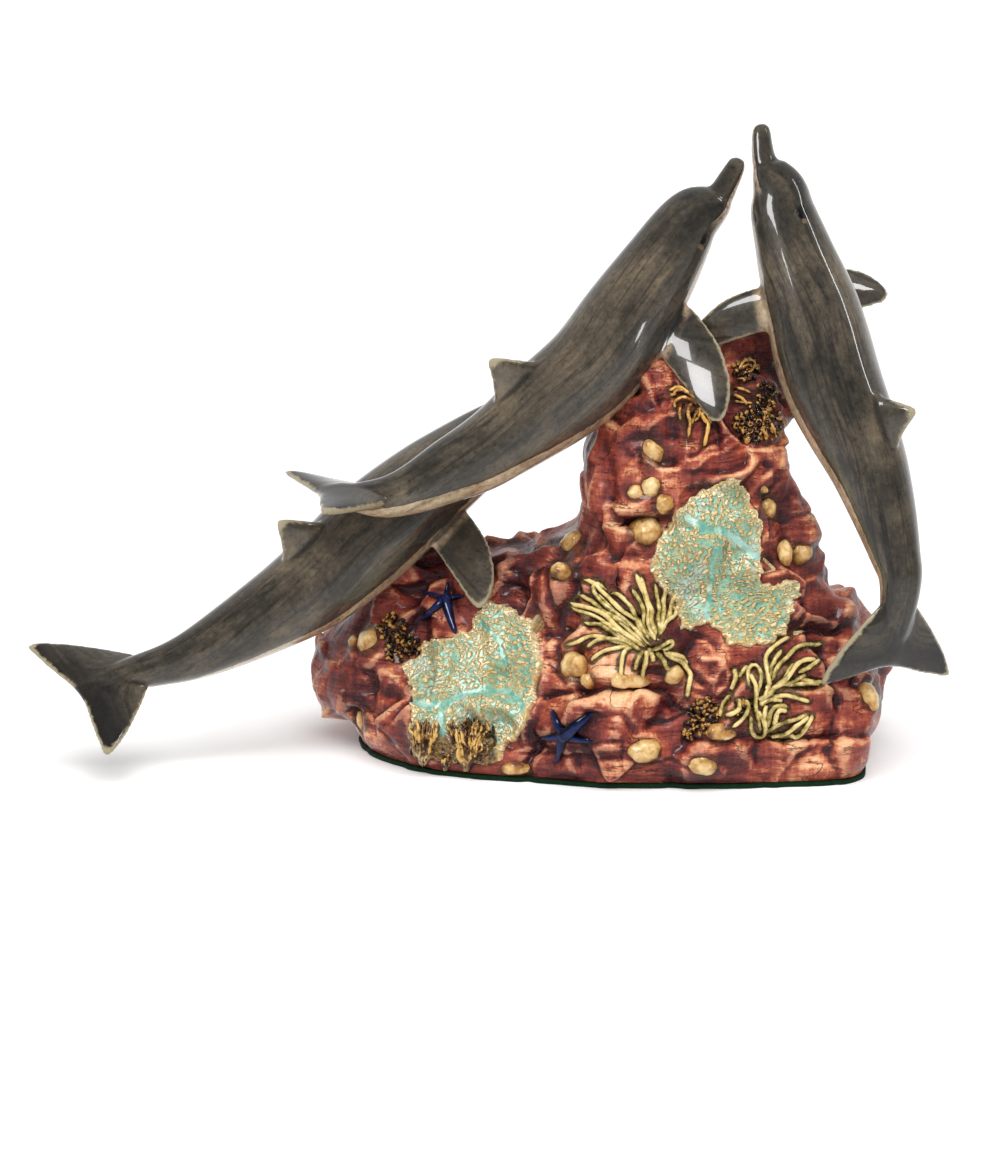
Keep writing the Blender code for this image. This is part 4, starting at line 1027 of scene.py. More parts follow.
def make_rock(material):
    """The rock as rings from its foot to its crown, with what its glaze needs at each point."""
    level, turn = np.linspace(0.0, 1.0, ROCK_ROWS)[:, None], circle(ROCK_COLUMNS)[None]
    points, normal = rock_skin(level, turn)
    flat = points.reshape(-1, 3)
    spots, mirrored = pixels_of(flat), pixels_of(flat * MIRROR)
    front = flat[:, 1] < FRONT_TO
    covered = np.maximum(inside_by(spots, PILLAR_CORAL), inside_by(spots, FOOT_CORAL))
    covered = eased(covered, 1.0, 6.0) * front
    covered = np.maximum(covered, eased(inside_by(mirrored, BACK_CORAL), 1.0, 6.0) * ~front)
    calm, _ = rock_skin(level, turn, rough=0.0)
    share = covered.reshape(points.shape[:2])[..., None]
    points = points + (calm - normal * UNDER_CRUST - points) * share
    pale = np.zeros(len(flat))
    for x, y, reach, amount in GLAZE_PATCHES:
        pale += amount * np.exp(-(((spots - (x, y)) ** 2).sum(axis=1) / reach**2))
    green = nearness(spots, REEF_ANEMONE + FOOT_ANEMONE, ARM_STAIN) * front
    green = np.maximum(green, nearness(mirrored, BACK_ANEMONE, ARM_STAIN) * ~front)
    brown = nearness(spots, HANGING_WEED + PILLAR_WEED, WEED_STAIN)
    for x, y, half_x, half_y, _, _ in SPRIG_PATCHES:
        brown = np.maximum(brown, near_oval(spots, x, y, half_x, half_y, 0.8, 1.35))
    for x, y, half_x, half_y, _ in SHELLS:
        ringed = near_oval(spots, x, y + 1, half_x + 2.5, half_y + 3.0, 0.85, 1.35)
        brown = np.maximum(brown, 0.7 * ringed)
    brown = np.maximum(brown, 0.8 * (1.0 - eased(np.abs(covered - 0.25), 0.1, 0.4)))
    ring_way = np.roll(points, -1, axis=1) - np.roll(points, 1, axis=1)
    faced = unit(np.cross(ring_way, np.gradient(points, axis=0)))
    values = {
        # painted light: how far a face tilts up from the smooth form, which the glaze paints paler
        "upward": (faced - normal)[..., 2].reshape(-1),
        "crease": grid_wear(points, normal, *CREASE_WEAR),
        "swell": grid_wear(points, normal, *SWELL_WEAR),
        "pale": pale * front,
        "green": green,
        "brown": brown * front,
    }
    values = {key: np.concatenate([row, row[:1], row[-1:]]) for key, row in values.items()}
    faces = bunch_faces(1, ROCK_ROWS, ROCK_COLUMNS)
    rock = piece("reef_rock", with_poles(points[None]), *faces, material, values)
    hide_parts("ceramic_group")
    return rock


def make_felt(material):
    """The felt pad: the foot's outline grown by the margin, with a softly rounded cut edge."""
    foot = rock_skin(np.zeros((1, 1)), circle(ROCK_COLUMNS)[None], rough=0.0)[0][0]
    ring_way = unit(np.roll(foot, -1, axis=0) - np.roll(foot, 1, axis=0))
    outward = np.stack([ring_way[:, 1], -ring_way[:, 0], 0 * ring_way[:, 0]], axis=1)
    ragged = (cloud(foot, 0.004, 51) - 0.5) * 0.0006
    rings = np.array([
        foot + outward * (FELT_MARGIN + out + ragged)[:, None] for out, _ in FELT_EDGE
    ])
    rings[..., 2] = np.array(FELT_EDGE)[:, 1:]
    pad = tube_piece("felt", rings[None], material)
    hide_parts("felt_pad")


# Life on the rock


def from_ends(count):
    """For each of so many places in a row, how many places it is from the nearer end."""
    return np.minimum(np.arange(count), np.arange(count)[::-1])


def make_coral(name, outline, behind, rows, columns, seed, material):
    """A crust over the part of the rock inside its outline, with winding ridges.

    The grid is a window of the rock's own surface. It is lifted inside the outline, eased down to
    below the rock outside it, and closed by a fan to a point in the clay.
    """
    side = MIRROR if behind else 1.0
    level = np.linspace(0.0, 1.0, COARSE_ROWS)[:, None]
    turn = (0.5 if behind else 1.5) * math.pi + np.linspace(-1.5, 1.5, COARSE_COLUMNS)[None]
    coarse = rock_skin(level, turn, rough=0.0)[0].reshape(-1, 3)
    held = inside_by(pixels_of(coarse * side), outline) > -CRUST_MARGIN
    held = held.reshape(COARSE_ROWS, COARSE_COLUMNS)
    levels, turns = level[held.any(axis=1)], turn[0, held.any(axis=0)]
    level = np.linspace(levels.min(), levels.max(), rows)[:, None]
    turn = np.linspace(turns.min(), turns.max(), columns)[None]
    skin, normal = rock_skin(level, turn, rough=0.12)
    flat, normal = skin.reshape(-1, 3), normal.reshape(-1, 3)
    spots = pixels_of(flat * side)
    ragged = (cloud(flat, 0.0035, seed) - 0.5) * 8.0 + (cloud(flat, 0.0014, seed + 7) - 0.5) * 3.0
    window = np.minimum(from_ends(rows)[:, None], from_ends(columns)[None]).reshape(-1)
    depth = np.minimum(inside_by(spots, outline) + ragged, window * 1.2 - 4.0)
    bend = (cloud(flat, 0.006, seed + 1) - 0.5) * 26.0
    square = winding_ridges(SWIRL_CELLS, WORM_PERIOD * SWIRL_SCALE, seed)
    swirl = read_square(square, spots[:, 0] * SWIRL_SCALE + bend, spots[:, 1] * SWIRL_SCALE - bend)
    crumbs = cloud(flat, 0.0021, seed + 3)
    pool = np.zeros(len(flat))
    for line, half_width in GLAZE_POOLS:
        gap = line_distance(spots, line) + (crumbs - 0.5) * 3.0
        pool = np.maximum(pool, 1.0 - eased(gap, 0.5 * half_width, 1.4 * half_width))
    curls = (1.0 - eased(np.abs(swirl), 0.22, 0.66)) * eased(crumbs, 0.16, 0.34)
    beads = 0.9 * eased(swirl, 0.80, 0.96) * eased(crumbs, 0.18, 0.34)
    ridge = np.maximum(curls, beads) * (1.0 - pool)
    inside = eased(depth, 0.0, 3.4)
    lumps = (cloud(flat, 0.009, seed + 2) - 0.5) * CRUST_LUMPS
    lift = -CRUST_SUNK + (CRUST_SUNK + CRUST_RISE) * inside + (WORM_RISE * ridge + lumps) * inside
    points = flat + normal * lift[:, None]
    index = np.arange(rows * columns).reshape(rows, columns)
    rim = np.concatenate([index[0, :-1], index[:-1, -1], index[-1, :0:-1], index[:0:-1, 0]])
    root = points.mean(axis=0) - unit(normal.mean(axis=0)) * CRUST_ROOT
    fans = np.stack([np.roll(rim, -1), rim, np.full(len(rim), rows * columns)], axis=1)
    fans_near = np.zeros(len(flat))
    if not behind:
        for x, y, _, reach, _, _ in FANS:
            fans_near = np.maximum(fans_near, near_oval(spots, x, y, 0.62 * reach, reach, 0.7, 1.1))
    values = {
        "ridge": np.append(ridge, 0.0),
        "rim": np.append(1.0 - eased(depth, 1.0, 7.0 + 7.0 * crumbs), 1.0),
        "pool": np.append(pool, 0.0),
        "brown": np.append(fans_near, 0.0),
    }
    quads = grid_quads(rows, columns, wrap_columns=0)
    return piece(name, np.concatenate([points, root[None]]), quads, fans, material, values)


class Skin:
    """The rock and its crusts as the camera sees them, or as its mirror image behind does."""

    def __init__(self, pieces):
        graph = bpy.context.evaluated_depsgraph_get()
        self.trees = [BVHTree.FromObject(each, graph) for each in pieces]

    def seat(self, x, y, behind=False):
        """The nearest surface point on the line through a pixel, and its normal to the viewer."""
        way = CAMERA_WAY * PIXELS_PER_SLOPE + CAMERA_RIGHT * (x - PHOTO_WIDTH / 2)
        way = way + CAMERA_UP * (PHOTO_HEIGHT / 2 - y)
        flip = MIRROR if behind else 1.0
        eye, way = Vector(CAMERA_AT * flip), Vector(unit(way * flip))
        hits = [tree.ray_cast(eye, way) for tree in self.trees]
        hits = [hit for hit in hits if hit[0] is not None]
        if not hits:
            hits = [self.trees[0].find_nearest(eye + way * (-eye.y / way.y))]
        point, normal, _, _ = min(hits, key=lambda hit: hit[3])
        return np.array(point), np.array(-normal if normal.dot(way) > 0 else normal)


def tubes_along(lines, normals, radii, sides, flat=1.0):
    """Tubes along smooth lines: at each point a circle across the line, squashed onto the rock."""
    ahead = unit(np.gradient(lines, axis=1))
    across = unit(np.cross(ahead, normals))
    upward = np.cross(across, ahead)
    angle = circle(sides)[:, None]
    ring = np.cos(angle) * across[:, :, None] + flat * np.sin(angle) * upward[:, :, None]
    return lines[:, :, None] + radii[..., None, None] * ring


def seated_lines(skin, routes, behind=False):
    """Routes in pixels laid on the rock, with its normals there: (count, steps, 3) of each."""
    seats = [[skin.seat(x, y, behind) for x, y in route] for route in routes]
    lines, normals = (np.array([[seat[k] for seat in row] for row in seats]) for k in (0, 1))
    for _ in range(3):
        for values in (lines, normals):
            values[:, 1:-1] = 0.5 * values[:, 1:-1] + 0.25 * (values[:, :-2] + values[:, 2:])
    return lines, unit(normals)


def fan_routes(root_x, root_y, half_angle, reach, count, seed):
    """Strands that fan upward from near a root, each a little bent."""
    chance = np.random.default_rng(seed)
    routes = []
    for _ in range(count):
        turn = math.radians(chance.uniform(-half_angle, half_angle))
        far = reach * chance.uniform(0.35, 1.0)
        near = max(far - reach * chance.uniform(0.25, 0.5), 3.0)
        bend = chance.normal(0, 0.17)
        routes.append(tuple(
            (root_x + away * math.sin(turn + bend * k), root_y - away * math.cos(turn + bend * k))
            for k, away in ((0, near), (1, (near + far) / 2), (0.3, far))
        ))
    return routes


def chances(count, seed):
    """Three even random numbers for each of so many things."""
    return hashed(np.arange(count)[:, None] * np.ones(3), seed)


def weed_piece(name, lines, normals, radii, sides, flat, chance, material):
    """Tubes that know how far up and how far along each point is, and which shade each tube has."""
    values = {
        "top": (1 + np.sin(circle(sides))) / 2,
        "tip": np.linspace(0.0, 1.0, lines.shape[1])[:, None],
        "shade": chance[:, 1, None, None],
    }
    return tube_piece(name, tubes_along(lines, normals, radii, sides, flat), material, values)


def make_arms(name, skin, routes, radius, material, behind=False, arch=0.0016, steps=18):
    """Arms of even thickness with blunt ends that lie on the rock, some arched over others."""
    routes = [even_route(route, steps) for route in routes]
    lines, normals = seated_lines(skin, routes, behind)
    share = np.linspace(0.0, 1.0, steps)
    chance = chances(len(routes), 61)
    blunt = 1.0
    for past_end in (share - 0.92, 0.08 - share):
        blunt = blunt * np.sqrt(np.clip(1.0 - (past_end / ARM_ENDS).clip(0) ** 2, 0.03, 1))
    knots = 1.0 + 0.07 * np.sin(share[None] * 21.0 + chance[:, 1:2] * 9.0)
    radii = radius * blunt[None] * knots * (0.84 + 0.30 * chance[:, :1])
    radii = radii * (1.04 - 0.16 * share[None])
    rise = radii * 0.62 + (arch * chance[:, 2:3]) * np.sin(share * math.pi)[None]
    lines = lines + normals * rise[..., None]
    return weed_piece(name, lines, normals, radii, ARM_SIDES, ARM_FLAT, chance, material)


def make_sprigs(name, skin, material):
    """Rough growths: short stubs set at scattered places and leaning every way."""
    routes, sizes = [], []
    for x, y, half_width, half_height, count, seed in SPRIG_PATCHES:
        chance = np.random.default_rng(seed)
        for _ in range(count):
            turn, away = chance.uniform(0, 2 * math.pi), math.sqrt(chance.uniform(0, 1))
            start = np.array([
                x + half_width * away * math.cos(turn), y + half_height * away * math.sin(turn),
            ])
            lean = turn + chance.normal(0, 0.9)
            way = np.array([math.cos(lean), math.sin(lean)])
            end = start + chance.uniform(*SPRIG_LENGTHS) * way
            routes.append(np.linspace(start, end, SPRIG_STEPS))
            sizes.append(chance.uniform(*SPRIG_RADII))
    lines, normals = seated_lines(skin, routes)
    share = np.linspace(0.0, 1.0, SPRIG_STEPS)
    radii = np.array(sizes)[:, None] * np.sqrt(np.clip(1.0 - (share * 0.99) ** 4, 0.02, 1))[None]
    lines = lines + normals * (radii * 0.6 + 0.0011 * share[None])[..., None]
    chance = chances(len(routes), 62)
    return weed_piece(name, lines, normals, radii, SPRIG_SIDES, 1.0, chance, material)


def make_polyps(name, skin, material):
    """Little rings that stand on the rock: circles carried round circles."""
    around = circle(POLYP_AROUND)[:, None, None]
    angle = circle(POLYP_SIDES)
    rings = []
    for number, (x, y) in enumerate(POLYPS):
        point, normal = skin.seat(x, y)
        across = unit(np.cross(normal, (0.3, 0.1, 1.0)))
        radius = POLYP_RING + POLYP_VARIED * math.sin(number * 2.1)
        out = np.cos(around) * across + np.sin(around) * np.cross(normal, across)
        tube = np.cos(angle)[None, :, None] * out + np.sin(angle)[None, :, None] * normal
        rings.append(point + normal * POLYP_RISE + out * radius + tube * POLYP_TUBE)
    shift = np.arange(len(rings))[:, None, None] * POLYP_AROUND * POLYP_SIDES
    faces = (grid_quads(POLYP_AROUND, POLYP_SIDES, wrap_rows=1) + shift).reshape(-1, 4)
    top = np.tile((1 + np.sin(angle)) / 2, len(rings) * POLYP_AROUND)
    values = {"top": top, "tip": np.full(len(top), 0.8), "shade": np.full(len(top), 0.5)}
    return piece(name, np.array(rings).reshape(-1, 3), faces, [], material, values)


def make_shells(name, skin, rows, material, behind=False):
    """Low worn shells: a dome 1 - r^3.2 high, off its middle, with faint ribs from the hinge."""
    ring = np.linspace(0.06, 1.0, SHELL_RINGS - 2)[:, None]
    angle = circle(SHELL_SIDES)[None]
    shells = []
    for number, (x, y, half_x, half_y, turn) in enumerate(rows):
        point, normal = skin.seat(x, y, behind)
        across = unit(np.cross(CAMERA_UP * (MIRROR if behind else 1.0), normal))
        across = -across if across[0] < 0 else across
        upward = np.cross(normal, across)
        upward = -upward if upward[2] < 0 else upward
        shift = math.radians(turn)
        lobes = 1 + sum(
            tall * np.cos(count * angle + number * turned) for count, tall, turned in SHELL_LOBES
        )
        size_x, size_y = half_x * PIXEL, half_y * PIXEL
        hinge = SHELL_HINGE * ring * (1 - ring)
        flat_x = size_x * (ring * lobes * np.cos(angle) + hinge * math.cos(shift))
        flat_y = size_y * (ring * lobes * np.sin(angle) + hinge * math.sin(shift))
        swell = SHELL_SWELL * min(size_x, size_y) + SHELL_LEAST
        ribs = SHELL_RIB_RISE * np.cos(SHELL_RIBS * (angle - shift)) * ring**1.5
        tilt = 0.10 * np.cos(2 * (angle - shift)) * ring
        high = swell * ((1 - ring**SHELL_DOME) + ribs + tilt)
        grid = point + flat_x[..., None] * across + flat_y[..., None] * upward
        lumps = cloud(grid.reshape(-1, 3), 0.0026, 81).reshape(high.shape) - 0.5
        high = high + lumps * (1 - ring**4) * 0.0013
        grid = grid + high[..., None] * normal
        skirt = [
            grid[-1] * share + point * (1 - share) - normal * sunk for share, sunk in SHELL_SKIRT
        ]
        shells.append(np.concatenate([grid, np.array(skirt)]))
    edge = np.concatenate([ring, np.ones((2, 1))])
    return tube_piece(name, np.array(shells), material, {"edge": edge})


def make_stars(name, skin, rows, material, behind=False):
    """Starfish: five tapering arms with a ridge, each from past the middle to its tip."""
    share = np.linspace(0.0, 1.0, STAR_STEPS)
    routes, sizes = [], []
    for middle, fatness, tips in rows:
        for tip in tips:
            away = np.array(tip) - np.array(middle)
            start = np.array(middle) - away * 0.12
            routes.append([start + (away * 1.12) * s for s in share])
            sizes.append(np.linalg.norm(away) * PIXEL * fatness)
    lines, ups = seated_lines(skin, routes, behind)
    width = np.sqrt(np.clip(share / 0.06, 0.05, 1)) * (1.0 - 0.62 * share)
    width = width * np.sqrt(np.clip(1.0 - ((share - 0.90) / 0.105).clip(0) ** 2, 0.02, 1))
    radii = np.array(sizes)[:, None] * width[None]
    lines = lines + ups * (radii * 0.35 + 0.0002)[..., None]
    tubes = tubes_along(lines, ups, radii, STAR_SIDES, 0.78)
    return tube_piece(name, tubes, material, {"top": np.clip(np.sin(circle(STAR_SIDES)), 0, 1)})


# Glazes


def paint(red, green, blue):
    """A colour written as the photograph shows it, from 0 to 255, as light."""
    shares = [value / 255 for value in (red, green, blue)]
    light = [s / 12.92 if s <= 0.04045 else ((s + 0.055) / 1.055) ** 2.4 for s in shares]
    return (*light, 1.0)


def set_stops(elements, stops):
    """Gives a ramp its stops, from the lowest up."""
    while len(elements) < len(stops):
        elements.new(1.0)
    for element, (place, *_) in zip(elements, stops):
        element.position = place
    for element, (_, *colour) in zip(elements, stops):
        element.color = paint(*colour)


class Value:
    """A number or colour that changes over a surface. Sums with it add the Math nodes they need."""

    def __init__(self, finish, socket):
        self.finish = finish
        self.socket = socket

    def maths(self, operation, *numbers):
        inputs = dict(enumerate(numbers))
        return self.finish.node("ShaderNodeMath", {"operation": operation}, inputs)

    def __add__(self, other):
        return self.maths("ADD", self, other)

    def __sub__(self, other):
        return self.maths("SUBTRACT", self, other)

    def __rsub__(self, other):
        return self.maths("SUBTRACT", other, self)

    def __mul__(self, other):
        return self.maths("MULTIPLY", self, other)

    def __abs__(self):
        return self.maths("ABSOLUTE", self)

    __radd__ = __add__
    __rmul__ = __mul__

    def highest(self, other):
        return self.maths("MAXIMUM", self, other)

    def eased(self, low, high, way="SMOOTHSTEP"):
        """Rises smoothly from 0 at low to 1 at high, or falls if low is the higher."""
        inputs = {0: self, 1: low, 2: high}
        return self.finish.node("ShaderNodeMapRange", {"interpolation_type": way}, inputs)


class Finish:
    """A glaze or a sky being mixed: nodes are added one by one to its material or world."""

    def __init__(self, block, shader="Principled BSDF", where="Object"):
        block.use_nodes = True
        self.block = block
        self.tree = block.node_tree
        self.shader = self.tree.nodes[shader]
        self.where = self.node("ShaderNodeTexCoord", {}, {}, where)

    def connect(self, value, socket):
        if isinstance(value, Value):
            self.tree.links.new(value.socket, socket)
        else:
            socket.default_value = value

    def node(self, kind, settings, inputs, output=0):
        """Adds a node: its settings or stops first, then the values or links of its sockets."""
        made = self.tree.nodes.new(kind)
        for key, value in settings.items():
            if key == "stops":
                set_stops(made.color_ramp.elements, value)
            else:
                setattr(made, key, value)
        for key, value in inputs.items():
            self.connect(value, made.inputs[key])
        return Value(self, made.outputs[output])

    def set(self, **sockets):
        """Sets the shader's sockets, and gives the finished material."""
        for key, value in sockets.items():
            self.connect(value, self.shader.inputs[key.replace("_", " ")])
        return self.block

    def values(self, *names):
        """Numbers stored on the piece's points."""
        kind = "ShaderNodeAttribute"
        return [self.node(kind, {"attribute_name": name}, {}, "Fac") for name in names]

    def noise(self, scale, detail=3.0, rough=0.55, vector=None, warp=0.0):
        return self.node("ShaderNodeTexNoise", {}, {
            "Vector": vector or self.where, "Scale": scale, "Detail": detail, "Roughness": rough,
            "Distortion": warp,
        })

    def stretched(self, x, y, z):
        return self.node("ShaderNodeMapping", {}, {"Vector": self.where, "Scale": (x, y, z)})

    def vector(self, x, y, z):
        return self.node("ShaderNodeCombineXYZ", {}, {0: x, 1: y, 2: z})

    def layered(self, colour, *coats):
        """A colour under coats of others: each has the share of it that covers, and its colour."""
        for share, coat in coats:
            coat = coat if isinstance(coat, Value) else paint(*coat)
            inputs = {0: share, 6: colour, 7: coat}
            colour = self.node("ShaderNodeMix", {"data_type": "RGBA"}, inputs, 2)
        return colour

    def ramp(self, value, *stops):
        """Colours along a value: each stop has its place, then its red, green and blue."""
        return self.node("ShaderNodeValToRGB", {"stops": stops}, {0: value}, "Color")

    def bump(self, height, distance, below=None):
        inputs = {"Height": height, "Distance": distance, "Strength": 1.0}
        return self.node("ShaderNodeBump", {}, {**inputs, **({"Normal": below} if below else {})})


def glaze(name):
    return Finish(bpy.data.materials.new(name))


def dolphin_glaze():
    """Grey glaze that ran in brown streaks along the body, with a pale belly and bare fin edges."""
    finish = glaze("grey_glaze")
    along, around, back_way, on_body = finish.values("along", "around", "back_way", "on_body")
    wear, tail, belly, mouth, gape = finish.values("wear", "tail", "belly", "mouth", "gape")
    eye, lid, blow = finish.values("eye_gap", "lid_gap", "blow_gap")
    grain_way = finish.vector(along * 0.022, around * 0.11, back_way * 0.3)
    streak = finish.noise(1.0, 4.0, 0.60, grain_way, 0.6)
    flow = finish.noise(1.0, 2.0, 0.50, finish.vector(along * 0.011, around * 0.16, 4.0), 0.4)
    brushed = finish.noise(1.0, 5.0, 0.70, finish.vector(along * 0.22, around * 0.75, 0.0), 0.3)
    mottle = finish.noise(430.0, 4.0, 0.7)
    blotch = finish.noise(34.0, 3.0, 0.6, warp=0.8)
    head = along.eased(66.0, 36.0)
    tone = streak * 0.54 + brushed * 0.22 + mottle * 0.28 + blotch * 0.42
    # painted shade: the tail and flukes are painted darker, standing for the dark room mirrored in
    # them
    tone = tone - 0.170 - head * 0.06 - tail * 0.10
    grey = finish.ramp(
        tone, (0.28, 25, 24, 23), (0.42, 42, 40, 36), (0.52, 60, 55, 47), (0.62, 84, 75, 63),
        (0.76, 118, 104, 84),
    )
    run = abs(flow - 0.5).eased(0.035, 0.0) * (1.0 - head)
    # painted reflection: the lower flank is painted lighter, standing for the white floor mirrored
    # in the glaze
    painted_floor_reflection = (0.10 - back_way + streak * 0.5 - 0.25).eased(0.0, 0.06)
    painted_floor_reflection = painted_floor_reflection * on_body * along.eased(90.0, 130.0)
    belly = belly + (streak - 0.5) * 0.16 + (mottle - 0.5) * 0.05
    faded = streak * 0.45 + blotch * 0.3 + mottle * 0.35
    pale = finish.ramp(faded, (0.44, 118, 98, 76), (0.55, 170, 148, 120), (0.66, 206, 186, 158))
    seam = abs(belly + 0.035).eased(0.045, 0.0) * on_body
    jaw = mouth.eased(-0.1, -0.9) * gape.eased(6.0, -6.0)
    edge = (wear + (mottle - 0.5) * 1.2 + (blotch - 0.5) * 0.8).eased(0.80, 1.40)
    edge = edge * (1.0 - on_body * 0.9)
    mouth = abs(mouth).highest(gape).eased(0.55, 0.12)
    lid = lid.eased(1.1, 0.6)
    pupil, socket = eye.eased(1.05, 0.75), eye.eased(1.9, 1.0)
    blow = abs(blow - 1.0).eased(0.6, 0.15)
    body = finish.layered(
        grey,
        # painted shade on the tail and flukes
        (tail * 0.50, (20, 19, 19)),
        (run * 0.55, (26, 25, 25)),
        (painted_floor_reflection * 0.12, (118, 112, 102)),
        (belly.eased(-0.02, 0.02) * on_body, pale),
        (seam * 0.6, (46, 36, 28)),
        (jaw * 0.8, finish.ramp(mottle, (0.40, 134, 108, 86), (0.60, 214, 192, 170))),
        (edge * 0.78, (172, 160, 130)),
        (wear.eased(-0.12, -0.7) * 0.75, (22, 21, 22)),
        (mouth * 0.9, (16, 13, 12)),
        (socket * 0.85, (20, 18, 17)),
        (lid * 0.5, (138, 112, 86)),
        (pupil, (5, 4, 5)),
        (blow * 0.5, (30, 27, 26)),
    )
    waves = finish.bump(finish.noise(16.0, 3.0), 0.0018)
    pits = finish.bump(mottle, 0.00006, waves)
    dents = finish.bump(pupil * 0.7 - socket * 0.7 + lid * 0.3 - mouth - blow * 0.4, 0.0006, pits)
    return finish.set(
        Base_Color=body, Roughness=mottle * 0.2 + 0.20, IOR=1.4, Coat_Weight=1.0,
        Coat_Roughness=0.03, Coat_IOR=1.58, Normal=dents,
    )


def rock_glaze():
    """Maroon satin glaze, washed thin to peach on the faces that stand out and dark in creases."""
    finish = glaze("maroon_glaze")
    crease, swell, pale, upward = finish.values("crease", "swell", "pale", "upward")
    brown, green = finish.values("brown", "green")
    broad = finish.noise(30.0, 3.0, 0.6, warp=0.8)
    patchy = finish.noise(85.0, 3.0, 0.6, warp=0.5)
    brush = finish.noise(1.0, 5.0, 0.70, finish.stretched(60.0, 60.0, 420.0), 0.5)
    strokes = finish.noise(1.0, 4.0, 0.6, finish.stretched(520.0, 240.0, 60.0), 0.3)
    lines = finish.noise(1.0, 4.0, 0.6, finish.stretched(34.0, 34.0, 120.0), 0.9)
    grain = finish.noise(640.0, 4.0, 0.65)
    # upward is painted light: faces tilted up are paler, as if lit from above
    tone = (
        upward * 0.26 + swell * 0.04 + crease * 0.05 + pale * 0.21 + (broad - 0.5) * 0.86
        + (patchy - 0.5) * 0.50 + (brush - 0.5) * 0.66 + (strokes - 0.5) * 0.34
        + (grain - 0.5) * 0.44 + 0.430
    )
    colour = finish.ramp(
        tone, (0.12, 58, 20, 26), (0.28, 98, 38, 36), (0.42, 138, 57, 47), (0.54, 168, 80, 57),
        (0.65, 216, 138, 98), (0.82, 250, 198, 150),
    )
    patched, grained = patchy - 0.5, grain - 0.5
    hollow = crease * 0.55 + swell * 0.32 + patched * 2.6 + (broad - 0.5) * 1.4 + grained * 0.8
    hollow = hollow.eased(-0.55, -1.25)
    ridge = (crease + (brush - 0.5) * 2.4 + grained * 2.0 + patched * 2.6).eased(0.95, 1.7)
    scored = abs(lines - 0.5).eased(0.016, 0.002) * (patchy + broad * 0.6).eased(0.78, 0.90)
    brown = (brown + (grain - 0.5) * 0.9).eased(0.35, 0.8)
    green = (green + (brush - 0.5) * 0.8).eased(0.30, 0.65)
    colour = finish.layered(
        colour,
        (hollow * 0.66, (44, 18, 26)),
        (ridge * 0.34, (228, 174, 138)),
        (scored * 0.7, (52, 20, 26)),
        (brown * 0.85, finish.ramp(brush, (0.40, 30, 13, 10), (0.62, 88, 48, 25))),
        (green * 0.84, finish.ramp(grain, (0.42, 24, 24, 14), (0.66, 104, 82, 46))),
    )
    scratch = finish.bump(grain, 0.00030)
    return finish.set(
        Base_Color=colour, Roughness=tone * 0.3 + 0.26, IOR=1.45,
        Coat_Weight=hollow * 0.3 + brown * 0.4 + 0.22, Coat_Roughness=0.12,
        Normal=finish.bump(brush + strokes * 0.5 - scored * 0.5, 0.0013, scratch),
    )


def coral_glaze():
    """Turquoise glaze that pooled between ochre curls and ran off the ochre rim."""
    finish = glaze("coral_glaze")
    ridge, rim, pool, brown = finish.values("ridge", "rim", "pool", "brown")
    blotch = finish.noise(150.0, 3.0, 0.6, warp=0.8)
    fine = finish.noise(700.0, 4.0, 0.65)
    reflection_noise = finish.noise(55.0, 3.0, 0.6, warp=0.5)
    tone = ridge * 0.33 + (blotch - 0.5) * 0.66 + (fine - 0.5) * 0.80 + rim * 0.32
    colour = finish.ramp(
        tone - pool * 0.10 + 0.258, (0.10, 98, 156, 140), (0.24, 136, 180, 156),
        (0.34, 172, 182, 140), (0.44, 198, 162, 100), (0.58, 228, 198, 140), (0.80, 250, 234, 192),
    )
    # painted reflection: pale blue-white patches stand for glints of light mirrored in the glaze
    painted_reflection = (reflection_noise + pool * 0.10 + (blotch - 0.5) * 0.5).eased(0.55, 0.68) * (1.0 - rim)
    outline = abs(ridge - 0.45).eased(0.30, 0.05) * (fine + blotch).eased(0.90, 1.12)
    burnt = (rim + (fine - 0.5) * 1.6).eased(0.95, 1.35)
    brown = (brown + (fine - 0.5) * 1.2).eased(0.30, 0.7)
    colour = finish.layered(
        colour,
        (painted_reflection * 0.45, (196, 226, 218)),
        (outline * 0.40, (112, 98, 60)),
        (burnt * 0.75, (140, 90, 46)),
        (brown * 0.92, finish.ramp(fine, (0.40, 40, 24, 10), (0.60, 150, 106, 50))),
    )
    relief = finish.bump(ridge, 0.0005, finish.bump(fine, 0.00030))
    return finish.set(
        Base_Color=colour, Roughness=ridge * 0.20 + 0.10, IOR=1.5, Coat_Weight=0.9,
        Coat_Roughness=0.04, Normal=relief,
    )


def weed_glaze(name, deep, middle, high, spread, varied, level, gloss):
    """A glossy glaze with painted light along the tops of the arms and painted shade under them.

    spread is how much it varies along each arm, varied how much from arm to arm, and level how far
    up the arms the pale part starts.
    """
    finish = glaze(name)
    top, tip, shade = finish.values("top", "tip", "shade")
    blotch = finish.noise(260.0, 4.0, 0.65)
    # top is painted light and shade: paler along the arms' tops, darker under them
    tone = top * 0.58 + tip * 0.12 + (blotch - 0.5) * spread + (shade - 0.5) * varied
    colour = finish.ramp(tone + (0.40 - level), (0.22, *deep), (0.46, *middle), (0.74, *high))
    return finish.set(
        Base_Color=colour, Roughness=blotch * 0.2 + 0.16, Coat_Weight=gloss, Coat_Roughness=0.06,
        Normal=finish.bump(finish.noise(700.0, 2.0), 0.00025),
    )


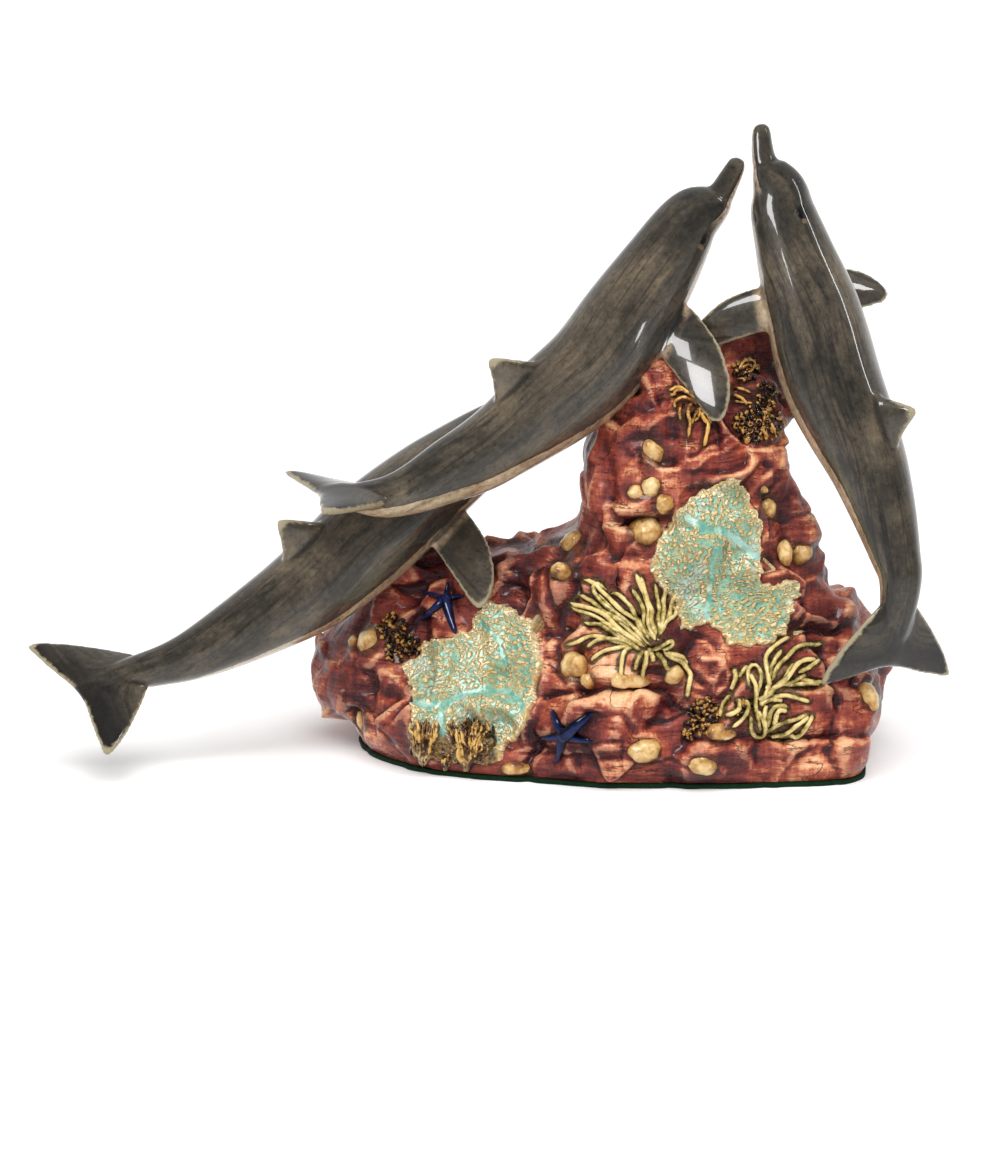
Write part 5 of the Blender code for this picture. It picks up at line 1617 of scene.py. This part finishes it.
def shell_glaze(name, level):
    """Cream to ochre glaze, browner where it pooled round the edge and in the dimples."""
    finish = glaze(name)
    edge, = finish.values("edge")
    blotch = finish.noise(190.0, 4.0, 0.65)
    broad = finish.noise(60.0, 2.0)
    tone = (blotch - 0.5) * 1.3 + (broad - 0.5) * 0.8 + edge * edge * edge * 0.22 + level
    colour = finish.ramp(
        tone, (0.22, 230, 200, 144), (0.42, 204, 163, 100), (0.58, 172, 124, 64), (0.80, 98, 58, 28)
    )
    return finish.set(
        Base_Color=colour, Roughness=blotch * 0.2 + 0.20, Coat_Weight=0.8, Coat_Roughness=0.07,
        Normal=finish.bump(blotch, 0.0010),
    )


def star_glaze():
    """Cobalt glaze, nearly black low on the arms and bluer along their tops."""
    finish = glaze("cobalt_glaze")
    top, = finish.values("top")
    blotch = finish.noise(260.0, 3.0, 0.6)
    tone = top * 0.6 + blotch * 0.5
    return finish.set(
        Base_Color=finish.ramp(tone, (0.34, 3, 4, 10), (0.66, 8, 11, 34), (0.92, 28, 42, 92)),
        Roughness=blotch * 0.15 + 0.08, IOR=1.3, Coat_Weight=0.5, Coat_Roughness=0.03,
    )


def felt_cloth():
    """Matt green felt: short fibres as fine noise in colour and height."""
    finish = glaze("green_felt")
    fibre = finish.noise(2600.0, 4.0, 0.7)
    tuft = finish.noise(500.0, 3.0)
    return finish.set(
        Base_Color=finish.ramp(fibre * 0.6 + tuft * 0.4, (0.3, 3, 18, 9), (0.7, 13, 56, 30)),
        Roughness=fibre * 0.1 + 0.88, Normal=finish.bump(fibre, 0.0004),
    )


def table_top():
    """White paper that glows a little, so that it stays white."""
    finish = glaze("white_paper")
    return finish.set(
        Base_Color=(0.94, 0.94, 0.94, 1.0), Roughness=finish.noise(900.0, 2.0) * 0.1 + 0.8,
        Emission_Strength=0.10, Emission_Color=(1.0, 1.0, 1.0, 1.0),
    )


# Stage


def linked(name, data, place, target):
    """A light or a camera in the scene, turned towards its target."""
    thing = added(name, data)
    thing.location = place
    thing.rotation_euler = (Vector(target) - thing.location).to_track_quat("-Z", "Y").to_euler()
    return thing


def soft_sun(name, place, energy, spread):
    """Even light from a wide part of the sky, which shows in no reflection."""
    light = bpy.data.lights.new(name, "SUN")
    light.energy, light.angle = energy, math.radians(spread)
    linked(name, light, place, (0.0, 0.0, 0.0)).visible_glossy = False


def bright_panel(name, place, target, width, height, brightness, pieces):
    """A panel that some pieces' glaze mirrors: its power is brightness times pi times its area."""
    light = bpy.data.lights.new(name, "AREA")
    light.shape = "RECTANGLE"
    light.size, light.size_y = width, height
    light.energy = brightness * math.pi * width * height
    panel = linked(name, light, place, target)
    panel.visible_diffuse = False
    mirrored_in = bpy.data.collections.new(name)
    for made in pieces:
        mirrored_in.objects.link(made)
    panel.light_linking.receiver_collection = mirrored_in


def set_panels(rock_pieces, crusts, dolphins):
    """A high window in the rock's glaze, and small ones in a melon, a flipper and along a back."""
    upper, _, upright = dolphins
    for row in (
        ("high_window", *HIGH_WINDOW, 0.42, 0.42, 11.0, rock_pieces),
        ("coral_window", *HIGH_WINDOW, 0.85, 0.85, 7.0, crusts),
        ("melon_window", *MELON_WINDOW, 0.052, 0.052, 9.5, [upright]),
        ("flipper_pane", *FLIPPER_PANE, 0.0155, 0.0185, 10.0, [upper]),
        ("flipper_top_pane", *FLIPPER_TOP_PANE, 0.008, 0.010, 9.0, [upper]),
        ("strip", *STRIP, 0.06, 0.60, 12.0, dolphins),
    ):
        bright_panel(*row)


def set_stage():
    """A white sheet of paper, a tent that is dim behind the camera, broad soft suns and the camera
    itself.
    """
    mesh = bpy.data.meshes.new("floor")
    corners = [(x * FLOOR_SIDE, y * FLOOR_SIDE, 0) for x, y in ((-1, -1), (1, -1), (1, 1), (-1, 1))]
    mesh.from_pydata(corners, [], [(0, 1, 2, 3)])
    mesh.materials.append(table_top())
    floor = added("floor", mesh)
    floor.visible_glossy = False

    world = bpy.data.worlds.new("tent")
    bpy.context.scene.world = world
    sky = Finish(world, "Background", "Generated")
    away, up = (sky.node("ShaderNodeSeparateXYZ", {}, {0: sky.where}, axis) for axis in "YZ")
    above = (away.eased(-0.35, 0.65) * 0.91 + 0.14) * (1.0 - up.eased(0.0, 0.50) * 0.58)
    below = up.eased(0.0, -0.30, "LINEAR") * 0.55
    sky.set(Strength=above.highest(below), Color=(1.0, 1.0, 1.0, 1.0))

    soft_sun("ceiling", (0.15, -0.50, 1.0), 3.0, 60)
    soft_sun("front", (-0.45, -1.0, 0.75), 1.3, 80)

    lens = bpy.data.cameras.new("camera")
    lens.sensor_width, lens.lens = SENSOR, LENS
    bpy.context.scene.camera = linked("camera", lens, CAMERA_AT, CAMERA_TARGET)
    bpy.context.scene.view_settings.view_transform = "Standard"


def main():
    """The stage, then the rock and what grows on it, the dolphins and the felt."""
    set_stage()
    rock = make_rock(rock_glaze())
    coral = coral_glaze()
    crusts = [
        make_coral("pillar_coral", PILLAR_CORAL, False, 300, 230, 71, coral),
        make_coral("foot_coral", FOOT_CORAL, False, 290, 230, 72, coral),
        make_coral("back_coral", BACK_CORAL, True, 190, 150, 73, coral),
    ]
    skin = Skin([rock, *crusts])
    shell, star = shell_glaze("shell_glaze", 0.36), star_glaze()
    olive, amber, umber, ochre = (weed_glaze(*row) for row in WEED_GLAZES)
    strands = [route for fan in FANS for route in fan_routes(*fan)]
    life = [
        make_shells("shells", skin, SHELLS, shell),
        make_shells("back_shells", skin, BACK_SHELLS, shell, behind=True),
        make_shells("slab", skin, PALE_SLABS, shell_glaze("slab_glaze", 0.14)),
        make_stars("starfish", skin, STARS, star),
        make_stars("back_starfish", skin, BACK_STARS, star, behind=True),
        make_arms("reef_anemone", skin, REEF_ANEMONE, ARM_RADIUS, olive),
        make_arms("foot_anemone", skin, FOOT_ANEMONE, ARM_RADIUS, olive),
        make_arms("hanging_weed", skin, HANGING_WEED, ARM_RADIUS * 0.8, amber),
        make_arms("pillar_weed", skin, PILLAR_WEED, ARM_RADIUS * 0.6, amber),
        make_arms("fan_weed", skin, strands, ARM_RADIUS * 0.66, ochre, arch=0.0012, steps=9),
        make_arms("back_anemone", skin, BACK_ANEMONE, ARM_RADIUS, olive, behind=True),
        make_sprigs("sprigs", skin, umber),
        make_polyps("polyps", skin, umber),
    ]
    grey = dolphin_glaze()
    dolphins = [make_dolphin(*row, grey) for row in DOLPHINS]
    set_panels((rock, *life), crusts, dolphins)
    make_felt(felt_cloth())


main()
